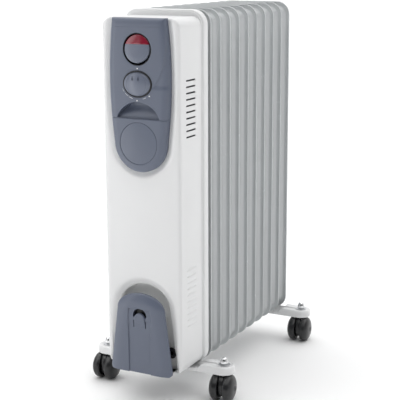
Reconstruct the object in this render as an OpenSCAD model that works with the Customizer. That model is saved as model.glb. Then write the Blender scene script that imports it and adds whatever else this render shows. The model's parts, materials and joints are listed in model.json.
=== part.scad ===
// Oil filled radiator heater on four twin-wheel casters, in millimetres.
// +X is the right side seen from the front, +Y runs back along the row of fins, +Z is up.
// The origin is on the floor, under the middle of the object's box.

/* [Fins] */
// Height of the top of the fins above the floor
total_h = 640; // [520:5:800]
// Number of fins in the row
fin_count = 10; // [5:1:13]
// Width of a fin over its seam flange
fin_w = 147; // [120:1:200]
// Height of a fin
fin_h = 590; // [460:5:740]
// Radius of a fin's corners
fin_r = 24; // [16:1:40]
// Distance from one fin to the next
fin_pitch = 35.3; // [26:0.1:50]
// Thickness of the seam flange, two sheets
flange_t = 2; // [1.8:0.1:3]
// Width of the flat seam flange
flange_w = 7.5; // [5:0.5:12]
// Width of the raised shoulder inside the flange
shoulder_w = 3.5; // [2:0.5:6]
// Thickness of a fin over its shoulder
shoulder_t = 11; // [7:0.5:12]
// Thickness of a fin over its oil channels
bulge_t = 18; // [14:0.5:22]
// Thickness of the pressed sheet
sheet_t = 0.8; // [0.7:0.05:1.2]
// Width of each pressed flat between the oil channels
flat_w = 14; // [8:1:20]
// Distance from the middle of the fin to the middle of a pressed flat
flat_x = 24; // [20:1:30]

/* [Headers and heating element] */
// Height of the header's axis above a fin's bottom edge, and below its top edge
header_in = 45; // [36:1:70]
// Outer radius of the collars that join the fins
collar_r = 22; // [18:0.5:26]
// Inner radius of the collars
collar_bore_r = 15; // [12:0.5:17]
// Radius of the sheathed heating tube
element_r = 5; // [4:0.25:5.5]
// Distance from the header's axis to each leg of the heating tube
element_leg = 7; // [6:0.5:8]
// Across-corners radius of the element's screwed flange
hex_r = 25; // [23:0.5:30]
// Thickness of the flange's head
hex_t = 8; // [5:0.5:12]
// Thickness of the gasket under the flange's head
gasket_t = 1.5; // [1:0.25:3]

/* [Control housing] */
// Width of the housing
housing_w = 139.6; // [115:1:190]
// Depth of the housing from front to back
housing_depth = 72; // [60:1:110]
// Height of the housing's underside above the fins' bottom edge
housing_lift = 4; // [2:0.5:12]
// Distance from the top of the housing down from the top of the fins
housing_drop = 10; // [4:0.5:20]
// Radius of the housing's corners seen from the front
housing_r = 16; // [8:1:24]
// Sheet thickness of the housing
housing_t = 0.8; // [0.7:0.1:1.5]
// Width of the flange turned in round the housing's back
rear_flange_w = 9; // [7:0.5:12]
// Number of ventilation slots on each side
slot_count = 10; // [4:1:14]
// Length of a slot
slot_len = 31.5; // [20:0.5:44]
// Height of a slot
slot_h = 2; // [1:0.25:4]
// Distance from slot to slot
slot_pitch = 9.9; // [6:0.1:14]
// Distance from the front of the housing to a slot
slot_in = 20.5; // [14:0.5:26]
// Height of the top slot's middle above the fins' bottom edge
slot_z = 483; // [420:1:500]
// Height of the top louvre's middle above the fins' bottom edge
louvre_z = 178; // [120:1:190]
// Height that a louvre stands proud of the sheet
louvre_out = 0.8; // [0.4:0.1:1.5]

/* [Rear frame] */
// Depth of the groove between the housing and the frame's rim
groove_d = 2; // [1:0.25:4]
// Depth of the groove's floor below the frame's rim
groove_in = 3; // [1.5:0.25:5]
// Overall depth of the frame
frame_depth = 17; // [12:0.5:24]
// Sheet thickness of the frame
frame_t = 1; // [0.8:0.1:1.5]
// Gap from the frame to the front of the first fin
frame_gap = 2.2; // [1.5:0.1:8]
// Thickness of the heat shield behind the controls
shield_t = 1; // [0.6:0.1:1.5]
// Clearance round the heat shield
shield_gap = 0.3; // [0.2:0.05:1]

/* [Control panel] */
// Half the panel's width at its widest
panel_half = 54; // [46:0.5:56]
// Height above the fins' bottom edge at which the panel is widest
panel_wide_z = 485; // [450:1:500]
// Radius of the panel's round lower end
panel_r = 47; // [40:0.5:50]
// Height of the round end's centre above the fins' bottom edge
panel_low_z = 384; // [370:1:400]
// Height of the seam between the upper and lower panels above the fins' bottom edge
seam_z = 423; // [415:1:430]
// Gap at the seam
seam_gap = 0.3; // [0.2:0.05:0.6]
// Distance that the panel's face stands in front of the housing
panel_proud = 9.5; // [8:0.5:16]
// Depth of the panel's outer rim
panel_rim = 4; // [3:0.5:6]
// Distance from the panel's edge to its raised face
panel_step = 10; // [6:0.5:14]
// Wall thickness of the panel mouldings
panel_t = 2.5; // [1.5:0.1:3]
// Half the width of the finger pocket
pocket_half = 39; // [30:0.5:40]
// Height of the finger pocket above the seam
pocket_h = 27; // [18:0.5:30]
// Depth of the finger pocket from the panel's face
pocket_depth = 14; // [8:0.5:20]
// Radius of the flush disc in the lower panel
disc_r = 33.5; // [24:0.5:36]
// Clearance round the flush disc
disc_gap = 0.2; // [0.1:0.05:0.5]

/* [Rocker switch] */
// Height of the rocker's centre above the fins' bottom edge
rocker_z = 532; // [524:1:540]
// Radius of the round rocker
rocker_r = 22.3; // [16:0.1:24]
// Clearance between the rocker's rim and its bezel, over its travel
rocker_gap = 1.5; // [1.5:0.1:3]
// Width of the bezel's ring
bezel_w = 1.5; // [1:0.25:3]
// Angle that the rocker stands at, each side of straight
rocker_tilt = 7; // [4:0.5:9]
// Distance from the rocker's face back to its pivot
rocker_pivot = 10; // [8:0.5:12]
// Thickness of the rocker's round cap
rocker_t = 5; // [3:0.5:6]
// Height of the lens's lower edge above the rocker's centre
lens_z = 6.6; // [3:0.2:10]
// Radius of the rocker's pivot pin
pin_r = 1.5; // [1:0.1:2]
// Radial running clearance of pins, shafts and wheels
running_gap = 0.06; // [0.03:0.01:0.1]

/* [Thermostat knob] */
// Height of the knob's centre above the fins' bottom edge
knob_z = 478; // [472:1:482]
// Radius of the turning knob
knob_r = 17.3; // [12:0.1:18]
// Height of the knob's dome in front of the panel's face
knob_proud = 7.5; // [4:0.5:12]
// Clearance between the knob and its collar
knob_gap = 0.35; // [0.3:0.05:1]
// Half the width of the oval collar
collar_a = 23.5; // [20:0.5:26]
// Half the height of the oval collar
collar_b = 18.6; // [18.4:0.1:19.5]
// Width of the dark ring round the collar
ring_w = 2.6; // [1.5:0.1:3.5]
// Radius of the thermostat's shaft
shaft_r = 3; // [2:0.25:4]

/* [Cord winder] */
// Half the width of the winder's plate at its lower edge
plate_half = 58; // [48:0.5:60]
// Half the width of the plate where its round top begins
plate_top_half = 44; // [36:0.5:46]
// Height of the plate's straight sides
plate_side_h = 107; // [90:1:120]
// Height of the plate's round top
plate_arch_h = 28; // [20:1:34]
// Distance that the plate's face stands in front of the housing
plate_proud = 16.5; // [14:0.5:22]
// Distance from the plate's face back to its outer rim
plate_crown = 6; // [3:0.5:8]
// Distance from the plate's edge to its raised face
plate_step = 10; // [6:0.5:14]
// Depth of the plate with its rim
plate_depth = 12; // [10:0.5:14]
// Wall thickness of the plate
plate_t = 2.5; // [1.5:0.1:3]
// Half the width of the plate's recessed band
band_half = 21; // [14:0.5:24]
// Depth of the recessed band
band_d = 2; // [1:0.25:3]
// Radius of the clip's opening in the band
clip_r = 12.5; // [9:0.5:13]
// Distance from the plate's edge out to the niche's edge at the sides
niche_margin = 3.5; // [3:0.5:9]
// Height of the niche's arch above the plate's arch
niche_head = 14; // [8:0.5:20]
// Depth of the niche behind the housing's front
niche_depth = 22; // [14:0.5:30]
// Wall thickness of the niche
niche_t = 1.2; // [0.8:0.1:2]
// Half the width of the winder's core
core_half = 24; // [16:0.5:30]
// Radius of the cord's hole in the cable gland
cord_r = 4; // [3:0.25:5]

/* [Feet] */
// Distance from the middle of the object to each caster's stem
track_half = 112.8; // [104:0.2:140]
// Width of a foot bracket
foot_w = 36; // [30:0.5:40]
// Sheet thickness of a foot bracket
foot_t = 2; // [1.5:0.1:3]
// Gap between the front wing nuts and the front foot's back wall
nut_room = 0.2; // [0.2:0.1:4]
// Height of a bracket's raised ends above the fins' bottom edge
pad_lift = 9; // [6:0.5:12]
// Radius of the foot bolts
bolt_r = 3; // [2.5:0.1:4]
// Distance from the middle of the object to a foot bolt
bolt_x = 25; // [25:0.5:34]
// Wall round the thread in a wing nut's boss
wing_wall = 1.5; // [1:0.25:3]

/* [Casters] */
// Diameter of a wheel
wheel_d = 45; // [38:0.5:46]
// Width over both wheels
caster_w = 44; // [36:0.5:50]
// Thickness of the body between the wheels
body_t = 8; // [7:0.5:12]
// Gap between a wheel and the body
wheel_gap = 0.5; // [0.3:0.1:1]
// Radius of the axle
axle_r = 2.5; // [2:0.1:3]
// Radius of the swivel stem
stem_r = 2.5; // [2:0.1:2.8]
// Distance from the swivel's axis to the axle
trail = 8; // [5:0.5:14]
// Radius of the body's neck round the stem
neck_r = 6.5; // [5.5:0.25:8]
// Angle each caster stands at: front right, front left, rear right, rear left
caster_yaw = [8, 3, 5, -8]; // [-180:1:180]

/* [Hidden] */
$fn = 96;
WHITE = [0.87, 0.88, 0.88];
FIN = [0.8, 0.82, 0.82];
BLUE = [0.46, 0.49, 0.57];
BLUE_DARK = [0.4, 0.43, 0.51];
BLACK = [0.09, 0.09, 0.1];
RED = [0.62, 0.1, 0.16, 0.8];
STEEL = [0.7, 0.71, 0.73];
BRASS = [0.72, 0.6, 0.32];
EPS = 0.01;

// Clearances that many pieces share
case_gap = 0.3;
weld_gap = 0.05;

fin_z0 = total_h - fin_h;
fin_cz = fin_z0 + fin_h / 2;
header_low = fin_z0 + header_in;
header_top = total_h - header_in;
fin_gap = fin_pitch - bulge_t;

// Stations along Y, from the front of the housing back
stack_depth = housing_depth + frame_depth + frame_gap + bulge_t / 2 + (fin_count - 1) * fin_pitch
    + bulge_t / 2;
front_proud = max(panel_proud + knob_proud, plate_proud);
house_y = -(stack_depth - front_proud) / 2;
frame_y = house_y + housing_depth;
fin1_y = frame_y + frame_depth + frame_gap + bulge_t / 2;
face_y = house_y - panel_proud;
rear_foot_y = fin1_y + (fin_count - 1.5) * fin_pitch;
stud_head_r = bolt_r + 1;
stud_y = frame_y + groove_d + frame_t + stud_head_r + case_gap;
front_foot_y = stud_y + bolt_r + wing_wall + nut_room + foot_t - foot_w / 2;

// Housing and panel heights
house_z0 = fin_z0 + housing_lift;
house_z1 = total_h - housing_drop;
pan_z = fin_z0 + panel_low_z;
wide_z = fin_z0 + panel_wide_z;
seam = fin_z0 + seam_z;
rock_z = fin_z0 + rocker_z;
dial_z = fin_z0 + knob_z;
pivot_y = face_y - 1 + rocker_pivot;
bezel_r = rocker_r + rocker_gap;
pocket_r = (pocket_half * pocket_half + pocket_h * pocket_h) / (2 * pocket_h);

// Opening in the housing's front behind the controls
opening_half = pocket_half + 2;
opening_z0 = seam - 6;
opening_z1 = rock_z + bezel_r + bezel_w + 1;

// Housing and what is fixed to it
louvre_pitch = 1.05 * slot_pitch;
SCREW_Z = [fin_z0 + 70, fin_cz + 10, total_h - 60];
screw_x = housing_w / 2 - housing_t - rear_flange_w / 2;
screw_r = 1.75;
shield_front = frame_y - housing_t - shield_t;
lug_t = 0.8;
lug_w = 6;
lug_l = 8;

// Winder
niche_fit = 0.1;
plate_z0 = house_z0 - 1;
spring_z = plate_z0 + plate_side_h;
niche_back = house_y + niche_depth;
gland_x = core_half + 16;
gland_z = plate_z0 + 30;
niche_low_half = housing_w / 2 - housing_r;

// Feet and casters
pad_z = fin_z0 + pad_lift;
bolt_half = max(bolt_x, collar_r + bolt_r);
foot_seat = 1.35;
rear_foot_w = max(foot_w, fin_pitch - flange_t + 2 * foot_seat);
wing_h = 8;
wing_half = 14;
wing_t = 2.4;
wheel_r = wheel_d / 2;
foot_rim = 4;
neck_top = pad_z - foot_t - 2.5;
wheel_w = caster_w / 2 - body_t / 2 - wheel_gap;
wheel_x0 = body_t / 2 + wheel_gap;
washer_r = 10;
washer_t = 1.2;
under_washer_r = 8;
wheel_hub_r = 8;
wheel_cap_r = 4;
wheel_edge_r = 3;
dome_x = wheel_w * 0.4;
rim_t = 4;
foot_mid_half = fin_w / 2 - 2;

CORNERS = ["fr", "fl", "rr", "rl"];
SIDE = [1, -1, 1, -1];
FOOT_Y = [front_foot_y, front_foot_y, rear_foot_y, rear_foot_y];

function two(n) = n < 10 ? str("0", n) : str(n);
function fin_name(n) = str("fin_", two(n));
function fin_y(n) = fin1_y + (n - 1) * fin_pitch;
function panel_half_at(z) = panel_half - (panel_half - panel_r) * pow((z - wide_z) / (wide_z - pan_z), 2);

// ---- helpers -------------------------------------------------------------

// Extrudes a drawing in X and Z from y0 back to y1
module along_y(y0, y1) {
    translate([0, y1, 0])
        rotate([90, 0, 0])
            linear_extrude(y1 - y0)
                children();
}

module y_cyl(x, z, r, y0, y1) {
    translate([x, y1, z])
        rotate([90, 0, 0])
            cylinder(r = r, h = y1 - y0);
}

module x_cyl(y, z, r, x0, x1) {
    translate([x0, y, z])
        rotate([0, 90, 0])
            cylinder(r = r, h = x1 - x0);
}

// A box from one corner to the other
module block(low, high) {
    translate(low)
        cube(high - low);
}

module rounded(w, h, r) {
    square([w - 2 * r, h], center = true);
    square([w, h - 2 * r], center = true);
    for (sx = [-1, 1], sz = [-1, 1])
        translate([sx * (w / 2 - r), sz * (h / 2 - r)])
            circle(r);
}

// Outline of a fin and of the rear frame, smaller by inset all round
module fin_outline(inset) {
    translate([0, fin_cz])
        rounded(fin_w - 2 * inset, fin_h - 2 * inset, fin_r - inset);
}

module house_outline(inset) {
    translate([0, (house_z0 + house_z1) / 2])
        rounded(housing_w - 2 * inset, house_z1 - house_z0 - 2 * inset, housing_r - inset);
}

module ellipse(a, b) {
    polygon([for (t = [0:5:355]) [a * cos(t), b * sin(t)]]);
}

// Outline of the whole control panel, smaller by inset at its sides and its lower end
module panel_outline(inset) {
    zs = [for (k = [0:14]) pan_z + k * (house_z1 - pan_z) / 14];
    polygon(concat(
        [for (z = zs) [panel_half_at(z) - inset, z]],
        [for (k = [14:-1:0]) [inset - panel_half_at(zs[k]), zs[k]]],
        [for (t = [185:5:355]) [(panel_r - inset) * cos(t), pan_z + (panel_r - inset) * sin(t)]]
    ));
}

// Half-moon with a flat lower edge on the seam
module pocket_outline(inset) {
    intersection() {
        translate([0, seam + pocket_h - pocket_r])
            circle(pocket_r - inset);
        translate([-100, seam + seam_gap + inset])
            square([200, 100]);
    }
}

// Straight-sided outline with an elliptical arch on top
module arch_outline(low_half, top_half, arch_h, z_low) {
    polygon(concat(
        [[-low_half, z_low], [low_half, z_low]],
        [for (t = [0:6:180]) [top_half * cos(t), spring_z + arch_h * sin(t)]]
    ));
}

// Outline of the winder's plate, smaller by inset at its sides and top
module plate_outline(inset, z_low) {
    arch_outline(plate_half - inset, plate_top_half - inset, plate_arch_h - inset, z_low);
}

// Outline of the niche, smaller by inset, clear of the inside of the housing
module niche_outline(inset, z_low) {
    grow = niche_margin - inset;
    intersection() {
        arch_outline(plate_half + grow, plate_top_half + grow, plate_arch_h + niche_head - inset, z_low);
        house_outline(housing_t + case_gap + inset);
    }
}

// ---- radiator ------------------------------------------------------------

// Long pressed flats between the oil channels
module flats(grow) {
    for (s = [-1, 1])
        translate([s * flat_x, fin_cz])
            rounded(flat_w + 2 * grow, fin_h - 4 * header_in + 2 * grow, flat_w / 2 + grow - EPS);
}

module fin_cavity(y) {
    channel_in = flange_w + sheet_t;
    difference() {
        union() {
            along_y(y - shoulder_t / 2 + sheet_t, y + shoulder_t / 2 - sheet_t)
                fin_outline(channel_in);
            along_y(y - bulge_t / 2 + sheet_t, y + bulge_t / 2 - sheet_t)
                fin_outline(channel_in + shoulder_w);
        }
        along_y(y - bulge_t, y + bulge_t)
            flats(sheet_t);
    }
}

module fin(n) {
    y = fin_y(n);
    bore_end = n == fin_count ? y : y + bulge_t;
    color(FIN)
        difference() {
            union() {
                along_y(y - flange_t / 2, y + flange_t / 2)
                    fin_outline(0);
                along_y(y - shoulder_t / 2, y + shoulder_t / 2)
                    fin_outline(flange_w);
                along_y(y - bulge_t / 2, y + bulge_t / 2)
                    fin_outline(flange_w + shoulder_w);
            }
            fin_cavity(y);
            for (side = [-1, 1]) {
                flat_cut_y = y + side * (bulge_t / 2 + sheet_t);
                along_y(flat_cut_y - bulge_t / 2, flat_cut_y + bulge_t / 2)
                    flats(0);
            }
            for (z = [header_low, header_top])
                y_cyl(0, z, collar_bore_r, y - bulge_t, bore_end);
        }
}

module collar_ring(z, y0, y1) {
    difference() {
        y_cyl(0, z, collar_r, y0, y1);
        y_cyl(0, z, collar_bore_r, y0 - 1, y1 + 1);
    }
}

module header_collars() {
    color(FIN)
        for (z = [header_low, header_top]) {
            collar_ring(z, frame_y + frame_t, fin1_y - bulge_t / 2);
            for (n = [1:fin_count - 1])
                collar_ring(z, fin_y(n) + bulge_t / 2, fin_y(n + 1) - bulge_t / 2);
        }
}

// Hairpin of sheathed tube through the lower header
module heating_element() {
    y_start = frame_y - gasket_t - hex_t - 14;
    y_bend = fin_y(fin_count) - element_leg - element_r - 2;
    color(STEEL) {
        for (s = [-1, 1])
            y_cyl(s * element_leg, header_low, element_r, y_start, y_bend);
        translate([0, y_bend, header_low])
            rotate_extrude(angle = 180)
                translate([element_leg, 0])
                    circle(element_r);
    }
}

module element_flange() {
    head_y = frame_y - gasket_t;
    color(BRASS)
        difference() {
            union() {
                translate([0, head_y, header_low])
                    rotate([90, 0, 0])
                        cylinder(r = hex_r, h = hex_t, $fn = 6);
                y_cyl(0, header_low, collar_bore_r, head_y, fin1_y - bulge_t / 2 - 3);
            }
            for (s = [-1, 1])
                y_cyl(s * element_leg, header_low, element_r, head_y - hex_t - 1, fin1_y);
        }
}

module flange_gasket() {
    color(BLACK)
        collar_ring(header_low, frame_y - gasket_t, frame_y);
}

module fill_plug() {
    color(BRASS) {
        translate([0, frame_y, header_top])
            rotate([90, 0, 0])
                cylinder(r = collar_r, h = hex_t, $fn = 6);
        y_cyl(0, header_top, collar_bore_r, frame_y, fin1_y - bulge_t / 2 - 3);
    }
}

// ---- frame and housing ---------------------------------------------------

module end_frame() {
    color(WHITE)
        difference() {
            union() {
                along_y(frame_y, frame_y + groove_d)
                    fin_outline(groove_in);
                along_y(frame_y + groove_d, frame_y + frame_depth)
                    fin_outline(0);
            }
            along_y(frame_y + frame_t, frame_y + groove_d + frame_t)
                fin_outline(groove_in + frame_t);
            along_y(frame_y + groove_d + frame_t, frame_y + frame_depth + 1)
                fin_outline(frame_t);
            for (z = [header_low, header_top])
                y_cyl(0, z, collar_bore_r, frame_y - 1, frame_y + groove_d);
            for (s = [-1, 1], z = SCREW_Z)
                y_cyl(s * screw_x, z, screw_r, frame_y - 1, frame_y + groove_d);
            for (s = [-1, 1])
                translate([s * bolt_half, stud_y, fin_z0 - 1])
                    cylinder(r = bolt_r, h = frame_t + 2);
        }
}

module heat_shield() {
    y1 = frame_y - housing_t;
    color(STEEL)
        difference() {
            along_y(y1 - shield_t, y1)
                house_outline(housing_t + shield_gap);
            y_cyl(0, header_low, hex_r + 2, y1 - shield_t - 1, y1 + 1);
            y_cyl(0, header_top, collar_r + 2, y1 - shield_t - 1, y1 + 1);
            for (s = [-1, 1], z = SCREW_Z)
                y_cyl(s * screw_x, z, screw_r, y1 - shield_t - 1, y1 + 1);
        }
}

// Ventilation slots through both sides, and the opening behind the controls
module housing_cuts() {
    for (k = [0:slot_count - 1], s = [-1, 1])
        translate([s * housing_w / 2, house_y + slot_in + slot_len / 2, fin_z0 + slot_z - k * slot_pitch])
            cube([4, slot_len, slot_h], center = true);
    along_y(house_y - 1, house_y + housing_t + 1)
        translate([-opening_half, opening_z0])
            square([2 * opening_half, opening_z1 - opening_z0]);
    along_y(house_y - 1, house_y + housing_t + EPS)
        niche_outline(-niche_fit, house_z0 - 1);
    block(
        [-niche_low_half, house_y - 1, house_z0 - 1],
        [niche_low_half, niche_back + niche_t + case_gap, house_z0 + housing_t + EPS]
    );
}

module housing_shell() {
    color(WHITE) {
        difference() {
            along_y(house_y, frame_y)
                house_outline(0);
            along_y(house_y + housing_t, frame_y - housing_t)
                house_outline(housing_t);
            along_y(frame_y - housing_t - 1, frame_y + 1)
                house_outline(rear_flange_w);
            for (s = [-1, 1], z = SCREW_Z)
                y_cyl(s * screw_x, z, screw_r, frame_y - housing_t - 1, frame_y + 1);
            housing_cuts();
        }
        for (k = [0:slot_count - 1], s = [0, 1]) {
            z = fin_z0 + louvre_z - k * louvre_pitch;
            mirror([s, 0, 0])
                block(
                    [housing_w / 2, house_y + slot_in, z - slot_h / 2],
                    [housing_w / 2 + louvre_out, house_y + slot_in + slot_len, z + slot_h / 2]
                );
        }
    }
}

module case_screws() {
    color(STEEL)
        for (s = [-1, 1], z = SCREW_Z) {
            y_cyl(s * screw_x, z, screw_r, frame_y - housing_t - shield_t - 4, frame_y + frame_t);
            y_cyl(s * screw_x, z, 2 * screw_r, frame_y + frame_t, frame_y + frame_t + 2);
        }
}

// ---- control panel -------------------------------------------------------

// The panel's hollow moulding: a rim and a raised face
module panel_body() {
    difference() {
        union() {
            along_y(house_y - panel_rim, house_y)
                panel_outline(0);
            along_y(face_y, house_y - panel_rim)
                panel_outline(panel_step);
        }
        along_y(house_y - panel_rim + panel_t, house_y + 1)
            panel_outline(panel_t);
        along_y(face_y + panel_t, house_y - panel_rim + panel_t + EPS)
            panel_outline(panel_step + panel_t);
    }
}

module control_panel() {
    color(BLUE)
        difference() {
            union() {
                intersection() {
                    panel_body();
                    block([-100, face_y - 1, seam + seam_gap / 2], [100, house_y + 1, house_z1 - panel_t]);
                }
                intersection() {
                    union() {
                        along_y(house_y - panel_rim, house_y)
                            panel_outline(0);
                        along_y(face_y, house_y - panel_rim)
                            panel_outline(panel_step);
                    }
                    block([-100, face_y - 1, house_z1 - panel_t], [100, house_y + 1, house_z1]);
                }
                along_y(face_y + EPS, face_y + pocket_depth + panel_t)
                    pocket_outline(seam_gap / 2);
            }
            along_y(face_y - 1, face_y + pocket_depth)
                pocket_outline(seam_gap / 2 + 2);
            y_cyl(0, rock_z, bezel_r + bezel_w, face_y - 1, face_y + panel_t + 1);
            along_y(face_y - 1, face_y + panel_t + 1)
                translate([0, dial_z])
                    ellipse(collar_a + ring_w, collar_b + ring_w);
        }
}

module lower_panel() {
    color(BLUE)
        difference() {
            intersection() {
                panel_body();
                block([-100, face_y - 1, pan_z - 100], [100, house_y + 1, seam - seam_gap / 2]);
            }
            y_cyl(0, pan_z, disc_r + disc_gap, face_y - 1, face_y + panel_t + 1);
        }
}

module blank_disc() {
    color(BLUE_DARK)
        difference() {
            union() {
                y_cyl(0, pan_z, disc_r, face_y, face_y + panel_t);
                y_cyl(0, pan_z, disc_r - 6, face_y + panel_t, house_y);
            }
            y_cyl(0, pan_z, disc_r - 8, face_y + panel_t, house_y + 1);
        }
}

// ---- rocker switch -------------------------------------------------------

module rocker_bezel() {
    color(BLACK)
        difference() {
            y_cyl(0, rock_z, bezel_r + bezel_w, face_y, house_y + 3);
            y_cyl(0, rock_z, bezel_r, face_y - 1, house_y + 4);
        }
}

// Turns what is drawn straight to the rocker's resting angle, its upper edge pressed in
module rocker_at_rest() {
    translate([0, pivot_y, rock_z])
        rotate([-rocker_tilt, 0, 0])
            translate([0, -rocker_pivot, 0])
                children();
}

module lens_region() {
    block([-30, -1, lens_z], [30, rocker_t, 30]);
}

module rocker() {
    color(BLUE_DARK)
        rocker_at_rest()
            difference() {
                union() {
                    difference() {
                        y_cyl(0, 0, rocker_r, 0, rocker_t);
                        lens_region();
                    }
                    block([-8, rocker_t, -5], [8, rocker_pivot + 3, 5]);
                    y_cyl(0, 0, rocker_r - 4, rocker_t - 1.5, rocker_t);
                }
                x_cyl(rocker_pivot, 0, pin_r + running_gap, -9, 9);
            }
}

module rocker_lens() {
    color(RED)
        rocker_at_rest()
            difference() {
                intersection() {
                    y_cyl(0, 0, rocker_r, 0, rocker_t);
                    lens_region();
                }
                y_cyl(0, 0, rocker_r - 4, rocker_t - 1.5, rocker_t + 1);
            }
}

// A box with two cheeks that carry the rocker's pin, and three contact lugs
module switch_body() {
    half = 16;
    half_h = 14;
    cheek_x = 9;
    back = house_y + 24;
    color(BLACK) {
        difference() {
            block([-half, house_y + 3, rock_z - half_h], [half, back, rock_z + half_h]);
            block([-cheek_x + 0.4, house_y, rock_z - 10], [cheek_x - 0.4, pivot_y + 6, rock_z + 10]);
        }
        for (s = [0, 1])
            mirror([s, 0, 0])
                block([cheek_x, pivot_y - 3, rock_z - 4], [half, house_y + 3, rock_z + 4]);
        x_cyl(pivot_y, rock_z, pin_r, -cheek_x, cheek_x);
        for (x = [-10, 0, 10])
            lug(x, back, rock_z);
    }
}

// Flat contact that stands out towards the back
module lug(x, y, z) {
    block([x - lug_t / 2, y, z - lug_w / 2], [x + lug_t / 2, y + lug_l, z + lug_w / 2]);
}

// ---- thermostat knob -----------------------------------------------------

module knob() {
    tip = knob_proud;
    dome = 3;
    cap_r = (knob_r * knob_r + dome * dome) / (2 * dome);
    color(BLUE_DARK)
        translate([0, face_y, dial_z])
            rotate([90, 0, 0])
                difference() {
                    union() {
                        rotate_extrude()
                            polygon(concat(
                                [[0, -2], [knob_r, -2]],
                                [for (k = [0:8]) let (r = knob_r * (1 - k / 8))
                                    [r, tip - cap_r + sqrt(cap_r * cap_r - r * r)]]
                            ));
                        translate([0, 0, -6])
                            cylinder(r = 6, h = 5);
                    }
                    translate([0, 0, -7])
                        cylinder(r = shaft_r + running_gap, h = 8);
                    for (s = [-1, 1])
                        translate([s * 5.5 - 1.15, 6, tip - 2.2])
                            cube([2.3, 6.7, 4]);
                }
}

module knob_collar() {
    color(BLUE_DARK)
        difference() {
            union() {
                along_y(face_y - 3, face_y + panel_t)
                    translate([0, dial_z])
                        ellipse(collar_a, collar_b);
                along_y(face_y + panel_t, face_y + panel_t + 1.5)
                    translate([0, dial_z])
                        ellipse(collar_a - 3, collar_b - 0.5);
            }
            y_cyl(0, dial_z, knob_r + knob_gap, face_y - 4, face_y + panel_t + 3);
        }
}

module knob_ring() {
    color(BLACK)
        difference() {
            along_y(face_y - 1.2, face_y + panel_t)
                translate([0, dial_z])
                    ellipse(collar_a + ring_w, collar_b + ring_w);
            along_y(face_y - 2, face_y + panel_t + 1)
                translate([0, dial_z])
                    ellipse(collar_a, collar_b);
        }
}

module thermostat() {
    front = house_y + 4;
    color(STEEL) {
        block([-13, front, dial_z - 10], [13, front + 20, dial_z + 10]);
        y_cyl(0, dial_z, 5, face_y + 7, front);
        y_cyl(0, dial_z, shaft_r, face_y, face_y + 7);
    }
}

// ---- cord winder ---------------------------------------------------------

// Bent surround, spot-welded along its back edge to a flat sheet
module winder_niche() {
    color(WHITE) {
        difference() {
            along_y(house_y, niche_back - weld_gap)
                niche_outline(0, house_z0);
            along_y(house_y - 1, niche_back + 1)
                niche_outline(niche_t, house_z0 - 1);
            block(
                [-niche_low_half + niche_t, house_y - 1, house_z0 - 1],
                [niche_low_half - niche_t, niche_back + 1, house_z0 + 2 * niche_t + 2]
            );
        }
        difference() {
            along_y(niche_back, niche_back + niche_t)
                niche_outline(0, house_z0);
            y_cyl(gland_x, gland_z, cord_r + 3, niche_back - 1, niche_back + niche_t + 1);
        }
    }
}

module winder_core() {
    low = plate_z0 + 36;
    high = spring_z + 6;
    front = house_y - plate_proud + band_d + plate_t;
    color(WHITE)
        difference() {
            along_y(front, niche_back)
                translate([0, (low + high) / 2])
                    rounded(2 * core_half, high - low, core_half - 4);
            along_y(front - 1, niche_back - 2)
                translate([0, (low + high) / 2])
                    rounded(2 * core_half - 4, high - low - 4, core_half - 6);
        }
}

module winder_plate() {
    y0 = house_y - plate_proud;
    y1 = y0 + plate_depth;
    clip_z = spring_z - 9;
    color(BLUE)
        difference() {
            union() {
                along_y(y0 + plate_crown, y1)
                    plate_outline(0, plate_z0);
                along_y(y0, y0 + plate_crown)
                    plate_outline(plate_step, plate_z0);
            }
            along_y(y0 + plate_crown + plate_t, y1 + 1)
                plate_outline(plate_t, plate_z0 + plate_t);
            along_y(y0 + band_d + plate_t, y0 + plate_crown + plate_t + EPS)
                plate_outline(plate_step + plate_t, plate_z0 + plate_t);
            block([-band_half, y0 - 1, plate_z0 - 1], [band_half, y0 + band_d, spring_z + 3]);
            difference() {
                y_cyl(0, clip_z, clip_r, y0 - 1, y0 + plate_depth + 1);
                y_cyl(0, clip_z - 2, clip_r - 3, y0 - 2, y0 + plate_depth + 2);
                block([-20, y0 - 2, clip_z - 30], [20, y1 + 2, clip_z - 3]);
            }
            for (s = [-1, 1])
                block([s * 11 - 0.8, y0 - 1, clip_z - 21], [s * 11 + 0.8, y1, clip_z - 11]);
        }
}

// Bush for the cord in the niche's back wall
module cable_gland() {
    color(BLACK)
        difference() {
            union() {
                y_cyl(gland_x, gland_z, cord_r + 3, niche_back - 4, niche_back + 14);
                y_cyl(gland_x, gland_z, cord_r + 5, niche_back - 4, niche_back);
                y_cyl(gland_x, gland_z, cord_r + 5, niche_back + niche_t, niche_back + niche_t + 3);
            }
            y_cyl(gland_x, gland_z, cord_r, niche_back - 5, niche_back + 15);
        }
}

// ---- parts inside the housing --------------------------------------------

module terminal_block() {
    z = plate_z0 + 170;
    color(BLACK)
        difference() {
            block([-28, shield_front - 18, z], [28, shield_front, z + 22]);
            for (k = [-2:2])
                y_cyl(k * 10, z + 11, 2.5, shield_front - 19, shield_front - 6);
        }
}

module tilt_switch() {
    z = plate_z0 + 210;
    color(BLACK) {
        block([-24, shield_front - 14, z], [-4, shield_front, z + 26]);
        y_cyl(-14, z + 13, 6, shield_front - 20, shield_front - 14);
    }
}

module thermal_cutout() {
    z = plate_z0 + 222;
    color(STEEL) {
        y_cyl(16, z, 8, shield_front - 7, shield_front);
        y_cyl(16, z, 5, shield_front - 11, shield_front - 7);
        for (s = [-1, 1])
            lug(16 + s * 6, shield_front - 7 - lug_l, z);
    }
}

// ---- feet ----------------------------------------------------------------

// Stadium-ended plan of a raised end, on the +X side
module pad_plan(inset, w) {
    translate([track_half, 0])
        circle(w / 2 - inset);
    translate([foot_mid_half + inset, inset - w / 2])
        square([track_half - foot_mid_half - inset, w - 2 * inset]);
}

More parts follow.
